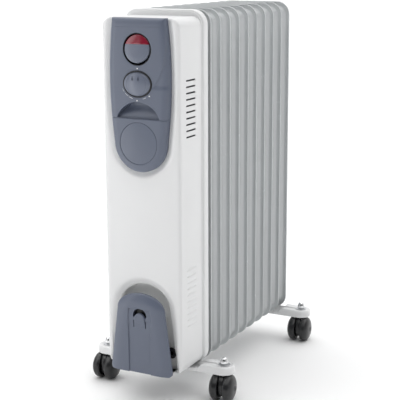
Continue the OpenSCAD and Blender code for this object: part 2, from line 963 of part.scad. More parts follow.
// Pressed channel with a low middle under the fins and a raised round end at each side
module foot(y, bolt_y, w) {
    rim_z = fin_z0 - foot_rim;
    color(WHITE)
        difference() {
            translate([0, y, 0])
                difference() {
                    union() {
                        block(
                            [-foot_mid_half - foot_t, -w / 2, rim_z],
                            [foot_mid_half + foot_t, w / 2, fin_z0]
                        );
                        for (s = [0, 1])
                            mirror([s, 0, 0])
                                translate([0, 0, fin_z0 - 1])
                                    linear_extrude(pad_lift + 1)
                                        pad_plan(0, w);
                    }
                    block(
                        [-foot_mid_half, foot_t - w / 2, rim_z - 1],
                        [foot_mid_half, w / 2 - foot_t, fin_z0 - foot_t]
                    );
                    for (s = [0, 1])
                        mirror([s, 0, 0]) {
                            translate([0, 0, rim_z - 1])
                                linear_extrude(pad_z - foot_t - rim_z + 1)
                                    pad_plan(foot_t, w);
                            translate([track_half, 0, rim_z])
                                cylinder(r = stem_r, h = 20);
                        }
                }
            for (s = [-1, 1])
                translate([s * bolt_half, bolt_y, rim_z])
                    cylinder(r = bolt_r, h = 20);
        }
}

module front_foot() {
    foot(front_foot_y, stud_y, foot_w);
}

module rear_foot() {
    foot(rear_foot_y, rear_foot_y, rear_foot_w);
}

// Two studs at the front, and a U-bolt over the last collar at the rear
module foot_bolts() {
    low = fin_z0 - 16;
    color(STEEL) {
        for (s = [-1, 1]) {
            translate([s * bolt_half, stud_y, low])
                cylinder(r = bolt_r, h = fin_z0 + frame_t - low);
            translate([s * bolt_half, stud_y, fin_z0 + frame_t])
                cylinder(r = stud_head_r, h = 3);
            translate([s * bolt_half, rear_foot_y, low])
                cylinder(r = bolt_r, h = header_low - low);
        }
        translate([0, rear_foot_y, header_low])
            rotate([90, 0, 0])
                rotate_extrude(angle = 180)
                    translate([bolt_half, 0])
                        circle(bolt_r);
    }
}

module wing_nuts() {
    top = fin_z0 - foot_t;
    color(STEEL)
        for (s = [-1, 1], y = [stud_y, rear_foot_y])
            translate([s * bolt_half, y, top - wing_h])
                difference() {
                    union() {
                        cylinder(r = bolt_r + wing_wall, h = wing_h);
                        translate([-wing_half, -wing_t / 2, 0])
                            cube([2 * wing_half, wing_t, wing_h - 2]);
                    }
                    translate([0, 0, -1])
                        cylinder(r = bolt_r, h = wing_h + 2);
                }
}

// ---- casters -------------------------------------------------------------

// Places a caster's own frame: stem on the Z axis, axle trailing towards the front
module at_caster(k) {
    translate([SIDE[k] * track_half, FOOT_Y[k], 0])
        rotate([0, 0, caster_yaw[k]])
            children();
}

module caster_stems() {
    color(STEEL)
        for (k = [0:3])
            at_caster(k)
                translate([0, 0, wheel_r + 6])
                    cylinder(r = stem_r, h = pad_z + 10 - wheel_r - 6);
}

module washer(r, z0, z1) {
    translate([0, 0, z0])
        difference() {
            cylinder(r = r, h = z1 - z0);
            translate([0, 0, -1])
                cylinder(r = stem_r, h = z1 - z0 + 2);
        }
}

// One washer on top of each foot's end and one under it
module washers() {
    color(STEEL)
        for (k = [0:3])
            at_caster(k) {
                washer(washer_r, pad_z, pad_z + washer_t);
                washer(under_washer_r, neck_top + 0.5, pad_z - foot_t);
            }
}

// Half-profile of a dome nut over its hexagon
module dome_profile() {
    polygon(concat([[0, 0]], [for (a = [0:10:90]) [5.8 * cos(a), 7 * sin(a)]]));
}

module acorn_nuts() {
    color(STEEL)
        for (k = [0:3])
            at_caster(k)
                translate([0, 0, pad_z + washer_t])
                    difference() {
                        union() {
                            cylinder(r = 7.2, h = 5, $fn = 6);
                            translate([0, 0, 5])
                                rotate_extrude()
                                    dome_profile();
                        }
                        translate([0, 0, -1])
                            cylinder(r = stem_r, h = 9.8);
                    }
}

module caster_body(k) {
    color(BLACK)
        at_caster(k)
            difference() {
                union() {
                    x_cyl(-trail, wheel_r, wheel_r - 7, -body_t / 2, body_t / 2);
                    block([-body_t / 2, -trail - 6, wheel_r], [body_t / 2, neck_r, wheel_d - 1]);
                    translate([0, 0, wheel_d + 0.5])
                        cylinder(r = neck_r, h = neck_top - wheel_d - 0.5);
                    block([-body_t / 2, -neck_r, wheel_d - 2], [body_t / 2, neck_r, wheel_d + 1]);
                }
                translate([0, 0, wheel_r + 5.5])
                    cylinder(r = stem_r + running_gap, h = neck_top - wheel_r);
                x_cyl(-trail, wheel_r, axle_r, -body_t, body_t);
            }
}

module axle(k) {
    reach = caster_w / 2 - 4;
    color(STEEL)
        at_caster(k)
            x_cyl(-trail, wheel_r, axle_r, -reach, reach);
}

// Half-profile of a wheel: x across it from its inner face, y out from the axle
function wheel_points() = let (w = wheel_w, bore = axle_r + running_gap, face = w - 0.8) concat(
    [[0, wheel_hub_r], [0, bore], [w - 3, bore], [w - 3, 0], [w, 0], [w, wheel_cap_r]],
    [for (a = [90:-10:0])
        [dome_x + (face - dome_x) * sin(a), wheel_cap_r + (wheel_r - wheel_cap_r) * cos(a)]],
    [for (a = [0:30:90])
        [wheel_edge_r * (1 - sin(a)), wheel_r - wheel_edge_r * (1 - cos(a))]],
    [[0, wheel_r - rim_t], [w - 9, wheel_r - rim_t], [w - 5, wheel_hub_r]]
);

module wheel_body() {
    rotate([0, 90, 0])
        rotate_extrude()
            polygon([for (p = wheel_points()) [p[1], p[0]]]);
}

module wheel(k, side) {
    color(BLACK)
        at_caster(k)
            translate([0, -trail, wheel_r])
                mirror([side, 0, 0])
                    translate([wheel_x0, 0, 0])
                        wheel_body();
}

// ---- the assembly --------------------------------------------------------

for (n = [1:fin_count])
    fin(n);
header_collars();
heating_element();
element_flange();
flange_gasket();
fill_plug();
end_frame();
heat_shield();
housing_shell();
control_panel();
lower_panel();
blank_disc();
rocker_bezel();
rocker();
rocker_lens();
switch_body();
knob();
knob_collar();
knob_ring();
thermostat();
winder_niche();
winder_core();
winder_plate();
cable_gland();
terminal_block();
tilt_switch();
thermal_cutout();
case_screws();
front_foot();
rear_foot();
foot_bolts();
wing_nuts();
caster_stems();
acorn_nuts();
washers();
for (k = [0:3])
    caster_body(k);
for (k = [0:3])
    axle(k);
for (k = [0:3])
    wheel(k, 0);
for (k = [0:3])
    wheel(k, 1);
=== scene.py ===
# %% [markdown]
# # An oil filled radiator heater on casters
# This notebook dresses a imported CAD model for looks. Each cell builds one family of real parts: pressed
# sheet, injection moulded plastic, turned metal. Shapes are written in millimetres, and make() scales them to
# Blender's metres. +X is the object's right side, +Y runs back along the fins and +Z is up.

# %% Load the fixed frame
import json
import math
import bpy
import bmesh
import numpy as np
from mathutils import Matrix, Quaternion, Vector


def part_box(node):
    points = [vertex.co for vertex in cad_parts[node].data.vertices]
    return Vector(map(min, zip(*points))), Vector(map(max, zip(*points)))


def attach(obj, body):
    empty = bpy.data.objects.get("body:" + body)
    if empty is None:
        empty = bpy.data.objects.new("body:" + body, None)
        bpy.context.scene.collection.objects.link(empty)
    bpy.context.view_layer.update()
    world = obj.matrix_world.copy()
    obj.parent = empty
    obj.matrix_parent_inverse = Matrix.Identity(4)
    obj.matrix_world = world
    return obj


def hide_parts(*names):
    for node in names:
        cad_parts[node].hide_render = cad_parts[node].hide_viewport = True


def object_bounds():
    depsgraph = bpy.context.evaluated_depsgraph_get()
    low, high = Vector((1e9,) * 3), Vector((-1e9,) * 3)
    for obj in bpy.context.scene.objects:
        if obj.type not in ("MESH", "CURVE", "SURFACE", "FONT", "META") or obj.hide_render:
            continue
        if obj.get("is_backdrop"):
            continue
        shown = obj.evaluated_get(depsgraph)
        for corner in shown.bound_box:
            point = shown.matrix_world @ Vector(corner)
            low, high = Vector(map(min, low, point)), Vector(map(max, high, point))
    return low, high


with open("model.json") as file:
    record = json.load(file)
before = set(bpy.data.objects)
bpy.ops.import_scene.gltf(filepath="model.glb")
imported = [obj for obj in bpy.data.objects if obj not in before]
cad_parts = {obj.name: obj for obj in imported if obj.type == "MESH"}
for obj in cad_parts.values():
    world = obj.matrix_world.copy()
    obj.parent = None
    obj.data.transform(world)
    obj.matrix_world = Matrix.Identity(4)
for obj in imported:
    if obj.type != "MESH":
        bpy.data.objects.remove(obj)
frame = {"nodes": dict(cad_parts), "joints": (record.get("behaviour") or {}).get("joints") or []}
rest_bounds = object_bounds()
scene = bpy.context.scene
MM = 0.001


# %% [markdown]
# ## Stations read from the frame
# Every position comes from the boxes of the CAD nodes, so the looks follow the part if it is packed again
# with other sizes.

# %% Read the stations
def span(node):
    """Lowest and highest corner of a CAD node, in millimetres."""
    low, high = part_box(node)
    return np.array(low) / MM, np.array(high) / MM


FINS = sorted(n for n in frame["nodes"] if n.startswith("fin_"))
fin_lo, fin_hi = span(FINS[0])
FIN_W, FIN_H = fin_hi[0] - fin_lo[0], fin_hi[2] - fin_lo[2]
FIN_Z0, FIN_CZ = fin_lo[2], (fin_lo[2] + fin_hi[2]) / 2
FIN_Y = [float(sum(s[1] for s in span(n)) / 2) for n in FINS]
house_lo, house_hi = span("heat_shield")
shell_lo, shell_hi = span("housing_shell")
frame_lo = span("end_frame")[0]
HOUSE_Y, HOUSE_BACK = shell_lo[1], shell_hi[1]
HOUSE_Z0, HOUSE_Z1 = shell_lo[2], shell_hi[2]
HOUSE_W = house_hi[0] - house_lo[0] + 2.2
panel_lo, panel_hi = span("control_panel")
FACE_Y = panel_lo[1]
disc_lo, disc_hi = span("blank_disc")
PAN_Z = (disc_lo[2] + disc_hi[2]) / 2
DISC_R = (disc_hi[0] - disc_lo[0]) / 2
SEAM = (panel_lo[2] + span("lower_panel")[1][2]) / 2
bezel_lo, bezel_hi = span("rocker_bezel")
ROCK_Z = (bezel_lo[2] + bezel_hi[2]) / 2
collar_lo, collar_hi = span("knob_collar")
DIAL_Z = (collar_lo[2] + collar_hi[2]) / 2
plate_lo, plate_hi = span("winder_plate")
niche_hi = span("winder_niche")[1]
print("fins at", [round(y, 1) for y in FIN_Y])
print("face", FACE_Y, "seam", SEAM, "rocker", ROCK_Z, "dial", DIAL_Z, "disc", PAN_Z, "housing width", HOUSE_W)

# %% [markdown]
# ## Mesh helpers
# Most parts of a heater are either a skin that follows an outline (pressed sheet, mouldings) or a turned
# profile. A stack of rings joined by quads makes both, and keeps the faces clean where a sphere or a cube
# would need cutting.


# %% Helpers for outlines
def rounded_rect(w, h, r, cz, corner=8, side=10, end=6):
    """Outline in X and Z, anticlockwise, with the same number of points for any size."""
    pts = []
    hx, hz = w / 2 - r, h / 2 - r
    arcs = [(hx, hz, 0), (-hx, hz, 90), (-hx, -hz, 180), (hx, -hz, 270)]
    for k, (x, z, a0) in enumerate(arcs):
        for i in range(corner + 1):
            a = math.radians(a0 + 90 * i / corner)
            pts.append((x + r * math.cos(a), z + r * math.sin(a)))
        nx, nz, na = arcs[(k + 1) % 4]
        start = np.array(pts[-1])
        a = math.radians(na)
        stop = np.array((nx + r * math.cos(a), nz + r * math.sin(a)))
        count = end if k % 2 == 0 else side
        for i in range(1, count):
            pts.append(tuple(start + (stop - start) * i / count))
    return np.array(pts) + np.array([0, cz])


def oval(a, b, cx=0, cz=0, n=96):
    t = np.linspace(0, 2 * math.pi, n, endpoint=False)
    return np.stack([cx + a * np.cos(t), cz + b * np.sin(t)], 1)


def grow(outline, d):
    """The outline moved out by d along its own normals."""
    nxt, prv = np.roll(outline, -1, 0), np.roll(outline, 1, 0)
    t = nxt - prv
    t /= np.linalg.norm(t, axis=1, keepdims=True) + 1e-12
    return outline + d * np.stack([t[:, 1], -t[:, 0]], 1)


def at_y(outline, y):
    return np.stack([outline[:, 0], np.full(len(outline), y), outline[:, 1]], 1)


def at_z(outline, z):
    return np.stack([outline[:, 0], outline[:, 1], np.full(len(outline), z)], 1)


def ease(x, lo, hi):
    """0 below lo, 1 above hi, smooth between."""
    t = np.clip((np.asarray(x, float) - lo) / (hi - lo), 0, 1)
    return t * t * (3 - 2 * t)


# %% Helpers for meshes
def make(name, verts, faces):
    """A mesh object from millimetres."""
    mesh = bpy.data.meshes.new(name)
    mesh.from_pydata((np.asarray(verts) * MM).tolist(), [], [tuple(int(i) for i in f) for f in faces])
    mesh.validate()
    obj = bpy.data.objects.new(name, mesh)
    scene.collection.objects.link(obj)
    turn_out(obj)
    return obj


def turn_out(obj):
    """Makes all face normals point outwards."""
    bm = bmesh.new()
    bm.from_mesh(obj.data)
    bmesh.ops.recalc_face_normals(bm, faces=bm.faces)
    bm.to_mesh(obj.data)
    bm.free()


def skin(name, rings, loop=False):
    """Joins rings of equal length by quads; open stacks get a face at each end."""
    n = len(rings[0])
    verts = np.concatenate(rings)
    faces = []
    for k in range(len(rings) - (0 if loop else 1)):
        a, b = k * n, (k + 1) % len(rings) * n
        faces += [(a + i, a + (i + 1) % n, b + (i + 1) % n, b + i) for i in range(n)]
    if not loop:
        faces += [tuple(range(n)), tuple(range(len(verts) - n, len(verts)))]
    return make(name, verts, faces)


def turned(name, profile, centre, axis="z", n=48):
    """A turned part: profile is (radius, distance along the axis) from one end to the other."""
    t = np.linspace(0, 2 * math.pi, n, endpoint=False)
    rings = []
    for r, s in profile:
        c, d, e = r * np.cos(t), r * np.sin(t), np.full(n, float(s))
        ring = {"z": (c, d, e), "y": (d, e, c), "x": (e, c, d)}[axis]
        rings.append(np.stack(ring, 1) + np.array(centre, float))
    loop = np.allclose(profile[0], profile[-1])
    return skin(name, rings[:-1] if loop else rings, loop)


def join(name, objs):
    """One object from several, each already in place."""
    bm = bmesh.new()
    for o in objs:
        mesh = o.data.copy()
        mesh.transform(o.matrix_basis)
        bm.from_mesh(mesh)
        bpy.data.meshes.remove(mesh)
        bpy.data.objects.remove(o)
    mesh = bpy.data.meshes.new(name)
    bm.to_mesh(mesh)
    bm.free()
    obj = bpy.data.objects.new(name, mesh)
    scene.collection.objects.link(obj)
    return obj


def bake_modifiers(obj):
    """Replaces the mesh by what its modifiers make of it."""
    bpy.context.view_layer.update()
    shown = obj.evaluated_get(bpy.context.evaluated_depsgraph_get())
    mesh = bpy.data.meshes.new_from_object(shown)
    obj.modifiers.clear()
    obj.data = mesh
    return obj


def carve(obj, cutter, how="DIFFERENCE"):
    """Cuts obj with a closed cutter, which is then removed."""
    mod = obj.modifiers.new("carve", "BOOLEAN")
    mod.object, mod.operation, mod.solver = cutter, how, "EXACT"
    bake_modifiers(obj)
    bpy.data.objects.remove(cutter)
    return obj


def soften(obj, width, segments=2, angle=35):
    """Rounds the edges sharper than the angle."""
    mod = obj.modifiers.new("round", "BEVEL")
    mod.width, mod.segments, mod.limit_method = width * MM, segments, "ANGLE"
    mod.angle_limit = math.radians(angle)
    return bake_modifiers(obj)


def shade(obj, angle=38):
    """Smooth shading, with edges sharper than the angle kept crisp."""
    bm = bmesh.new()
    bm.from_mesh(obj.data)
    for face in bm.faces:
        face.smooth = True
    for edge in bm.edges:
        edge.smooth = len(edge.link_faces) == 2 and edge.calc_face_angle(0) < math.radians(angle)
    bm.to_mesh(obj.data)
    bm.free()
    return obj


def prism(name, outline, y0, y1, round_edge=0.0, flare=0.0):
    """A solid along Y from an outline in X and Z, with rounded ends, or a flared front for a cutter."""
    rings = []
    if flare:
        rings = [at_y(grow(outline, 1.6 * flare), y0)]
        for a in (0, 22, 45, 68, 90):
            s, c = math.sin(math.radians(a)), math.cos(math.radians(a))
            rings.append(at_y(grow(outline, flare * (1 - s)), y0 + 1 + flare * (1 - c)))
        rings.append(at_y(outline, y1))
        return skin(name, rings)
    if round_edge:
        for a in (0, 30, 60, 90):
            s, c = math.sin(math.radians(a)), math.cos(math.radians(a))
            rings.append(at_y(grow(outline, round_edge * (s - 1)), y0 + round_edge * (1 - c)))
        for a in (90, 60, 30, 0):
            s, c = math.sin(math.radians(a)), math.cos(math.radians(a))
            rings.append(at_y(grow(outline, round_edge * (s - 1)), y1 - round_edge * (1 - c)))
        return skin(name, rings)
    return skin(name, [at_y(outline, y0), at_y(outline, y1)])


def slab(name, low, high, round_edge=0.0):
    """A block between two corners."""
    (x0, y0, z0), (x1, y1, z1) = low, high
    verts = [(x, y, z) for z in (z0, z1) for y in (y0, y1) for x in (x0, x1)]
    faces = [(0, 2, 3, 1), (4, 5, 7, 6), (0, 1, 5, 4), (2, 6, 7, 3), (0, 4, 6, 2), (1, 3, 7, 5)]
    obj = make(name, verts, faces)
    return soften(obj, round_edge) if round_edge else obj


PIECES = []


def finish_piece(obj, body, slot, nodes=(), angle=38):
    """Shades a piece, ties it to its body and material slot, and hides the CAD nodes it stands for."""
    shade(obj, angle)
    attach(obj, body)
    if nodes:
        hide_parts(*nodes)
    PIECES.append((obj, slot))
    return obj


# %% [markdown]
# ## Fins
# A fin is two pressed steel shells, seam welded round a flat flange whose edge is folded over into a bead.
# Inside the flange the sheet rises over a shoulder to the oil channels, with two long flats pressed
# together between them. Rings that follow the fin's outline carry that section all the way round, and the
# flats are pressed into them by distance from their centre lines.

# %% Build the ten fins
SECTION = np.array([
    (0, 0.35), (0.12, 0.95), (0.45, 1.35), (1.1, 1.55), (1.8, 1.4), (2.3, 1.05), (2.7, 0.92), (4.8, 0.9),
    (6.6, 0.92), (7.3, 1.2), (7.9, 1.9), (8.7, 3.3), (9.8, 5.2), (11, 6.8), (12.4, 7.9), (14.2, 8.6), (16.5, 8.92),
])
FLAT_X, FLAT_HALF = 24, 7
HEADER = 45


def fin_half(y, side, step):
    """Rings of one shell, from the edge inwards."""
    insets = list(SECTION[:, 0]) + list(np.arange(19, FIN_W / 2 - 1, step))
    rings = []
    for d in insets:
        ring = rounded_rect(FIN_W - 2 * d, FIN_H - 2 * d, max(24 - d, 5 if d < 60 else 1), FIN_CZ, 7, 60, 14)
        x, z = ring[:, 0], ring[:, 1]
        h = np.full(len(ring), np.interp(d, np.append(SECTION[:, 0], 21), np.append(SECTION[:, 1], 9)))
        reach = FIN_H / 2 - 2 * HEADER - FLAT_HALF
        for s in (-1, 1):
            along = np.clip(z - FIN_CZ, -reach, reach)
            off = np.hypot(x - s * FLAT_X, z - FIN_CZ - along)
            h = h + (0.95 - h) * (1 - ease(off, FLAT_HALF - 1.5, FLAT_HALF + 4.5))
        for hz in (FIN_Z0 + HEADER, FIN_Z0 + FIN_H - HEADER):
            r = np.hypot(x, z - hz)
            h = h - 1.0 * ease(r, 24, 27) * (1 - ease(r, 29, 33))
        rings.append(np.stack([x, y + side * h, z], 1))
    return rings


def build_fin(name, y, step):
    front, back = fin_half(y, -1, step), fin_half(y, 1, step)
    return skin(name, front[::-1] + back)


for k, node in enumerate(FINS):
    step = 2.6 if k in (0, len(FINS) - 1) else 5.2
    piece = build_fin("radiator_" + node, FIN_Y[k], step)
    finish_piece(piece, "heater", "fin_paint", [node], 50)
print("faces in the last fin", len(piece.data.polygons))

# %% [markdown]
# ## Header collars
# Short collars are resistance welded between the fins at the top and the bottom and carry the oil along.
# They are drawn tubes, wider where they meet each fin.

# %% Build the collars
collars = []
half_t = (fin_hi[1] - fin_lo[1]) / 2
edges = [(frame_lo[1] + 1.2, FIN_Y[0] - half_t + 0.2)]
edges += [(a + half_t - 0.2, b - half_t + 0.2) for a, b in zip(FIN_Y[:-1], FIN_Y[1:])]
for z in (FIN_Z0 + HEADER, FIN_Z0 + FIN_H - HEADER):
    for a, b in edges:
        w = b - a
        outer = [(22, a), (21.8, a + 0.06 * w), (19.6, a + 0.16 * w), (19, a + 0.3 * w), (19, a + 0.46 * w)]
        bead = [(19.6, a + 0.5 * w), (19, a + 0.54 * w)]
        outer += bead + [(19, a + 0.7 * w), (19.6, a + 0.84 * w), (21.8, a + 0.94 * w), (22, b)]
        profile = [(15, a)] + outer + [(15, b), (15, a)]
        collars.append(turned("collar", profile, (0, 0, z), "y", 48))
finish_piece(join("header_collar_row", collars), "heater", "fin_paint", ["header_collars"])
print("collars", len(collars))

# %% [markdown]
# ## Rear frame
# The frame behind the housing is a shallow pressed tray. Its front edge is drawn over a radius, a narrow
# groove separates it from the housing, and its back edge is folded in so that it has no raw rim.

# %% Press the rear frame
y = frame_lo[1]
tray = [
    (62, 0), (3.7, 0), (3.15, 0.2), (3, 0.6), (3, 1.9), (2.3, 2.05), (1.3, 2.35), (0.55, 2.95), (0.14, 3.8),
    (0, 4.9), (0, 15.0), (0.16, 16.0), (0.6, 16.7), (1.2, 17.0), (1.8, 16.8), (2.1, 16.2), (2.1, 5),
    (3.2, 3.6), (62, 3.2),
]
rings = [
    at_y(rounded_rect(FIN_W - 2 * d, FIN_H - 2 * d, max(24 - d, 4), FIN_CZ, 12, 20, 8), y + s)
    for d, s in tray
]
finish_piece(skin("rear_frame_pressing", rings), "heater", "white_paint", ["end_frame"])

# %% [markdown]
# ## Crowned skins
# The housing's front, the control panels and the winder's plate are all gently crowned. Each is easiest to
# think of as a height at every point of its face, so one helper lays a grid over the outline, dense at the
# edges, and closes it with a wall and a flat back.


# %% Helper for crowned skins
def dense(lo, hi, n, low=True, high=True):
    """Stations from lo to hi, closer together at the chosen ends."""
    t = np.linspace(0, 1, n)
    if low and high:
        t = (1 - np.cos(math.pi * t)) / 2
    elif high:
        t = np.sin(math.pi / 2 * t)
    elif low:
        t = 1 - np.cos(math.pi / 2 * t)
    return lo + (hi - lo) * t


def columns_at(inner, outer, w):
    """Columns near the middle stay put; the rest stretch with the half width w."""
    scale = min(1.0, w * 0.6 / inner[-1])
    right = [c * scale for c in inner]
    right += [right[-1] + (w - right[-1]) * t for t in outer]
    return [-c for c in right[:0:-1]] + right


def moulding(name, rows, half, depth, back, inner, outer):
    """A solid whose face is at depth(x, z) over rows of height z and half width half(z)."""
    verts, n = [], 2 * (len(inner) + len(outer)) - 1
    for z in rows:
        verts += [(x, depth(x, z), z) for x in columns_at(inner, outer, max(half(z), 0.4))]
    last = (len(rows) - 1) * n
    faces = [(r + i, r + i + 1, r + n + i + 1, r + n + i) for r in range(0, last, n) for i in range(n - 1)]
    edge = list(range(n)) + list(range(2 * n - 1, last + n, n)) + list(range(last + n - 2, last - 1, -1))
    edge += list(range(last - n, 0, -n))
    base = len(verts)
    verts += [(verts[i][0], back, verts[i][2]) for i in edge]
    m = len(edge)
    faces += [(edge[k], edge[(k + 1) % m], base + (k + 1) % m, base + k) for k in range(m)]
    faces.append(tuple(range(base, base + m)))
    return make(name, verts, faces)


# %% [markdown]
# ## Outlines on the front
# The control panel widens from its round lower end to a waist and narrows again to the top. The winder's
# niche is an arch. Both outlines are needed by the housing, which is dished to meet them.

# %% Outlines of the panel and the niche
WIDE_Z, PANEL_HALF, PANEL_R = FIN_Z0 + 485, (panel_hi[0] - panel_lo[0]) / 2, 47.0
RISE = HOUSE_Y - FACE_Y


def panel_half(z):
    if z >= PAN_Z:
        return PANEL_HALF - (PANEL_HALF - PANEL_R) * ((z - WIDE_Z) / (WIDE_Z - PAN_Z)) ** 2
    return math.sqrt(max(PANEL_R ** 2 - (PAN_Z - z) ** 2, 0))


def panel_edge(x, z):
    """Distance in from the panel's edge at the sides and the round end."""
    if z >= PAN_Z:
        return panel_half(z) - abs(x)
    return PANEL_R - math.hypot(x, PAN_Z - z)


def crease_x(z):
    return 49 - 25 * max(0.0, min(1.0, (622 - z) / 100)) ** 4.2


def panel_face(x, z):
    """Y of the panel's face."""
    d = max(panel_edge(x, z), 0)
    roll = 12.5
    h = 1.6 + (RISE - 1.6) * math.sqrt(max(0.0, 1 - (1 - min(d, roll) / roll) ** 2.3))
    top = max(HOUSE_Z1 - z, 0)
    h_top = 2.4 + (RISE - 2.4) * math.sqrt(max(0.0, 1 - (1 - min(top, 11) / 11) ** 2.2))
    h = min(h, h_top) - 0.35 * math.exp(-abs(h - h_top) / 0.8) * (top < 14)
    if z > 519:
        off = (x - crease_x(z)) * (0.35 + 0.65 * float(ease(z, 520, 560)))
        fade = float(ease(z, 519.5, 527))
        h -= fade * 1.9 * float(ease(off, 0, 1.1)) * (1 - 0.6 * float(ease(off, 2, 18)))
    return HOUSE_Y - max(h, 0.6)


PLATE_HALF, PLATE_TOP_HALF = plate_hi[0], 44.0
SPRING_Z = plate_lo[2] + 107.0
ARCH_H = plate_hi[2] - SPRING_Z
MARGIN, NICHE_HEAD = 3.5, 14.0


def arch(inset, z_low, margin=0.0, head=0.0, corner=7.0, n=40, side=18):
    """Straight-sided outline with an elliptical top and small round lower corners."""
    lo, hi = PLATE_HALF + margin - inset, PLATE_TOP_HALF + margin - inset
    c = max(corner - inset, 0.6)
    pts = [(lo - c + c * math.cos(a), z_low + c + c * math.sin(a)) for a in np.radians(np.linspace(-90, -4, 6))]
    for f in np.arange(1, side) / side:
        pts.append((lo + (hi - lo) * f, z_low + c + (SPRING_Z - z_low - c) * f))
    left = [(-x, z) for x, z in reversed(pts)]
    rise = ARCH_H + head - inset
    top = [(hi * math.cos(a), SPRING_Z + rise * math.sin(a)) for a in np.linspace(0, math.pi, n)]
    return np.array(pts + top + left)


def niche_edge(x, z):
    """Distance in from the niche's edge, negative outside it."""
    a, b = PLATE_TOP_HALF + MARGIN, ARCH_H + NICHE_HEAD
    if z > SPRING_Z:
        r = math.hypot(x / a, (z - SPRING_Z) / b)
        return (1 - r) * math.hypot(x, z - SPRING_Z) / max(r, 1e-6)
    f = (SPRING_Z - z) / (SPRING_Z - plate_lo[2])
    return a + (PLATE_HALF - PLATE_TOP_HALF) * f - abs(x)


# %% [markdown]
# ## Control housing
# The housing is drawn and folded from thin sheet: a front with rounded edges, sides that turn in at the
# back, ten punched slots and ten lanced louvres a side. The front is dished round the control panel and
# turns in round the niche, which is what gives a plain white front its soft shadows.


# %% Fold the housing
FRONT_R, SHEET, CORNER = 5.0, 0.9, 16.0
HOUSE_CZ, HOUSE_H = (HOUSE_Z0 + HOUSE_Z1) / 2, HOUSE_Z1 - HOUSE_Z0
PANEL_DISH, NICHE_DISH = 4.2, 4.6


def house_edge(x, z):
    """Distance in from the housing's outline."""
    qx, qz = abs(x) - (HOUSE_W / 2 - CORNER), abs(z - HOUSE_CZ) - (HOUSE_H / 2 - CORNER)
    return CORNER - math.hypot(max(qx, 0), max(qz, 0)) - min(max(qx, qz), 0)


def house_front(x, z, inset=0.0):
    """Y of the front's outer face, or of its inner face with an inset."""
    r = FRONT_R - inset
    d = min(max(house_edge(x, z) - inset, 0), r)
    y = inset + r * (1 - math.sqrt(max(0.0, 1 - (1 - d / r) ** 2)))
    y += PANEL_DISH * float(ease(-panel_edge(x, z), 10.5, 0.0))
    y += NICHE_DISH * float(ease(-niche_edge(x, z), 4 + 7 * float(ease(z, 70, 150)), 0.0))
    return HOUSE_Y + y


def house_half(z, inset=0.0):
    over = abs(z - HOUSE_CZ) - (HOUSE_H / 2 - CORNER)
    r = CORNER - inset
    return HOUSE_W / 2 - CORNER + (r if over <= 0 else math.sqrt(max(r * r - over * over, 0)))


def house_rows(inset):
    lo, hi = HOUSE_Z0 + inset, HOUSE_Z1 - inset
    foot, head = dense(lo, lo + 16, 12, high=False), dense(hi - 16, hi, 12, low=False)
    middle = [np.arange(lo + 18, 225, 2.6), np.arange(228, 366, 9), np.arange(367, hi - 17, 2.6)]
    return np.concatenate([foot] + middle + [head])


inner, outer = list(np.arange(0, 61, 2.5)), list(dense(0, 1, 9, low=False)[1:])
housing = moulding("housing_pressing", house_rows(0), house_half, house_front, HOUSE_BACK, inner, outer)
hollow = moulding(
    "hollow", house_rows(SHEET), lambda z: house_half(z, SHEET), lambda x, z: house_front(x, z, SHEET),
    HOUSE_BACK - SHEET, inner, outer,
)
carve(housing, hollow)
back_hole = rounded_rect(HOUSE_W - 18, HOUSE_H - 18, 8, HOUSE_CZ)
carve(housing, prism("back_hole", back_hole, HOUSE_BACK - 3, HOUSE_BACK + 1))
print("housing faces", len(housing.data.polygons))

# %% [markdown]
# The slots are punched with a round-ended tool, so each is a long stadium. A louvre is sheared free along its
# lower edge, which leaves a thin slit under it. A black sheet behind the slots is painted shade: it stands
# in for the shadow inside the housing. The opening for the winder's niche is an arch, and the one behind the
# controls is hidden by the panel.


# %% Punch the housing
def stadium_along_y(y0, y1, z, h, n=8):
    """Outline in Y and Z."""
    r = h / 2
    a = np.linspace(-math.pi / 2, math.pi / 2, n)
    right = np.stack([y1 - r + r * np.cos(a), z + r * np.sin(a)], 1)
    left = np.stack([y0 + r - r * np.cos(a), z - r * np.sin(a)], 1)
    return np.concatenate([right, left])


slots = []
SLOT_Y0, SLOT_Y1 = HOUSE_Y + 20.5, HOUSE_Y + 52
SLOT_Z, SLOT_PITCH, SLOT_H = FIN_Z0 + 483, 9.9, 2.7
LOUVRE_Z, LOUVRE_PITCH, SLIT_DROP, SLIT_H = FIN_Z0 + 178, 10.4, 1.75, 0.9
PAST_SIDES = 90.0
for k in range(10):
    for z, h in ((SLOT_Z - SLOT_PITCH * k, SLOT_H), (LOUVRE_Z - LOUVRE_PITCH * k - SLIT_DROP, SLIT_H)):
        o = stadium_along_y(SLOT_Y0, SLOT_Y1, z, h)
        ends = [np.stack([np.full(len(o), x), o[:, 0], o[:, 1]], 1) for x in (-PAST_SIDES, PAST_SIDES)]
        slots.append(skin("slot", ends))
carve(housing, join("slots", slots))
opening = rounded_rect(84, ROCK_Z + 26 - SEAM + 6, 4, (ROCK_Z + 26 + SEAM - 6) / 2)
carve(housing, prism("behind_controls", opening, HOUSE_Y - 1, HOUSE_Y + 8))
low_half = HOUSE_W / 2 - 16
niche_cut = arch(-0.2, HOUSE_Z0 - 6, MARGIN, NICHE_HEAD, 0.7)
niche_cut[:, 0] = np.clip(niche_cut[:, 0], -HOUSE_W / 2 + 6, HOUSE_W / 2 - 6)
carve(housing, prism("niche_opening", niche_cut, HOUSE_Y - 1, HOUSE_Y + 8))
foot_low, foot_high = (-low_half, HOUSE_Y - 1, HOUSE_Z0 - 2), (low_half, HOUSE_Y + 23.2, HOUSE_Z0 + 2)
carve(housing, slab("niche_foot", foot_low, foot_high))


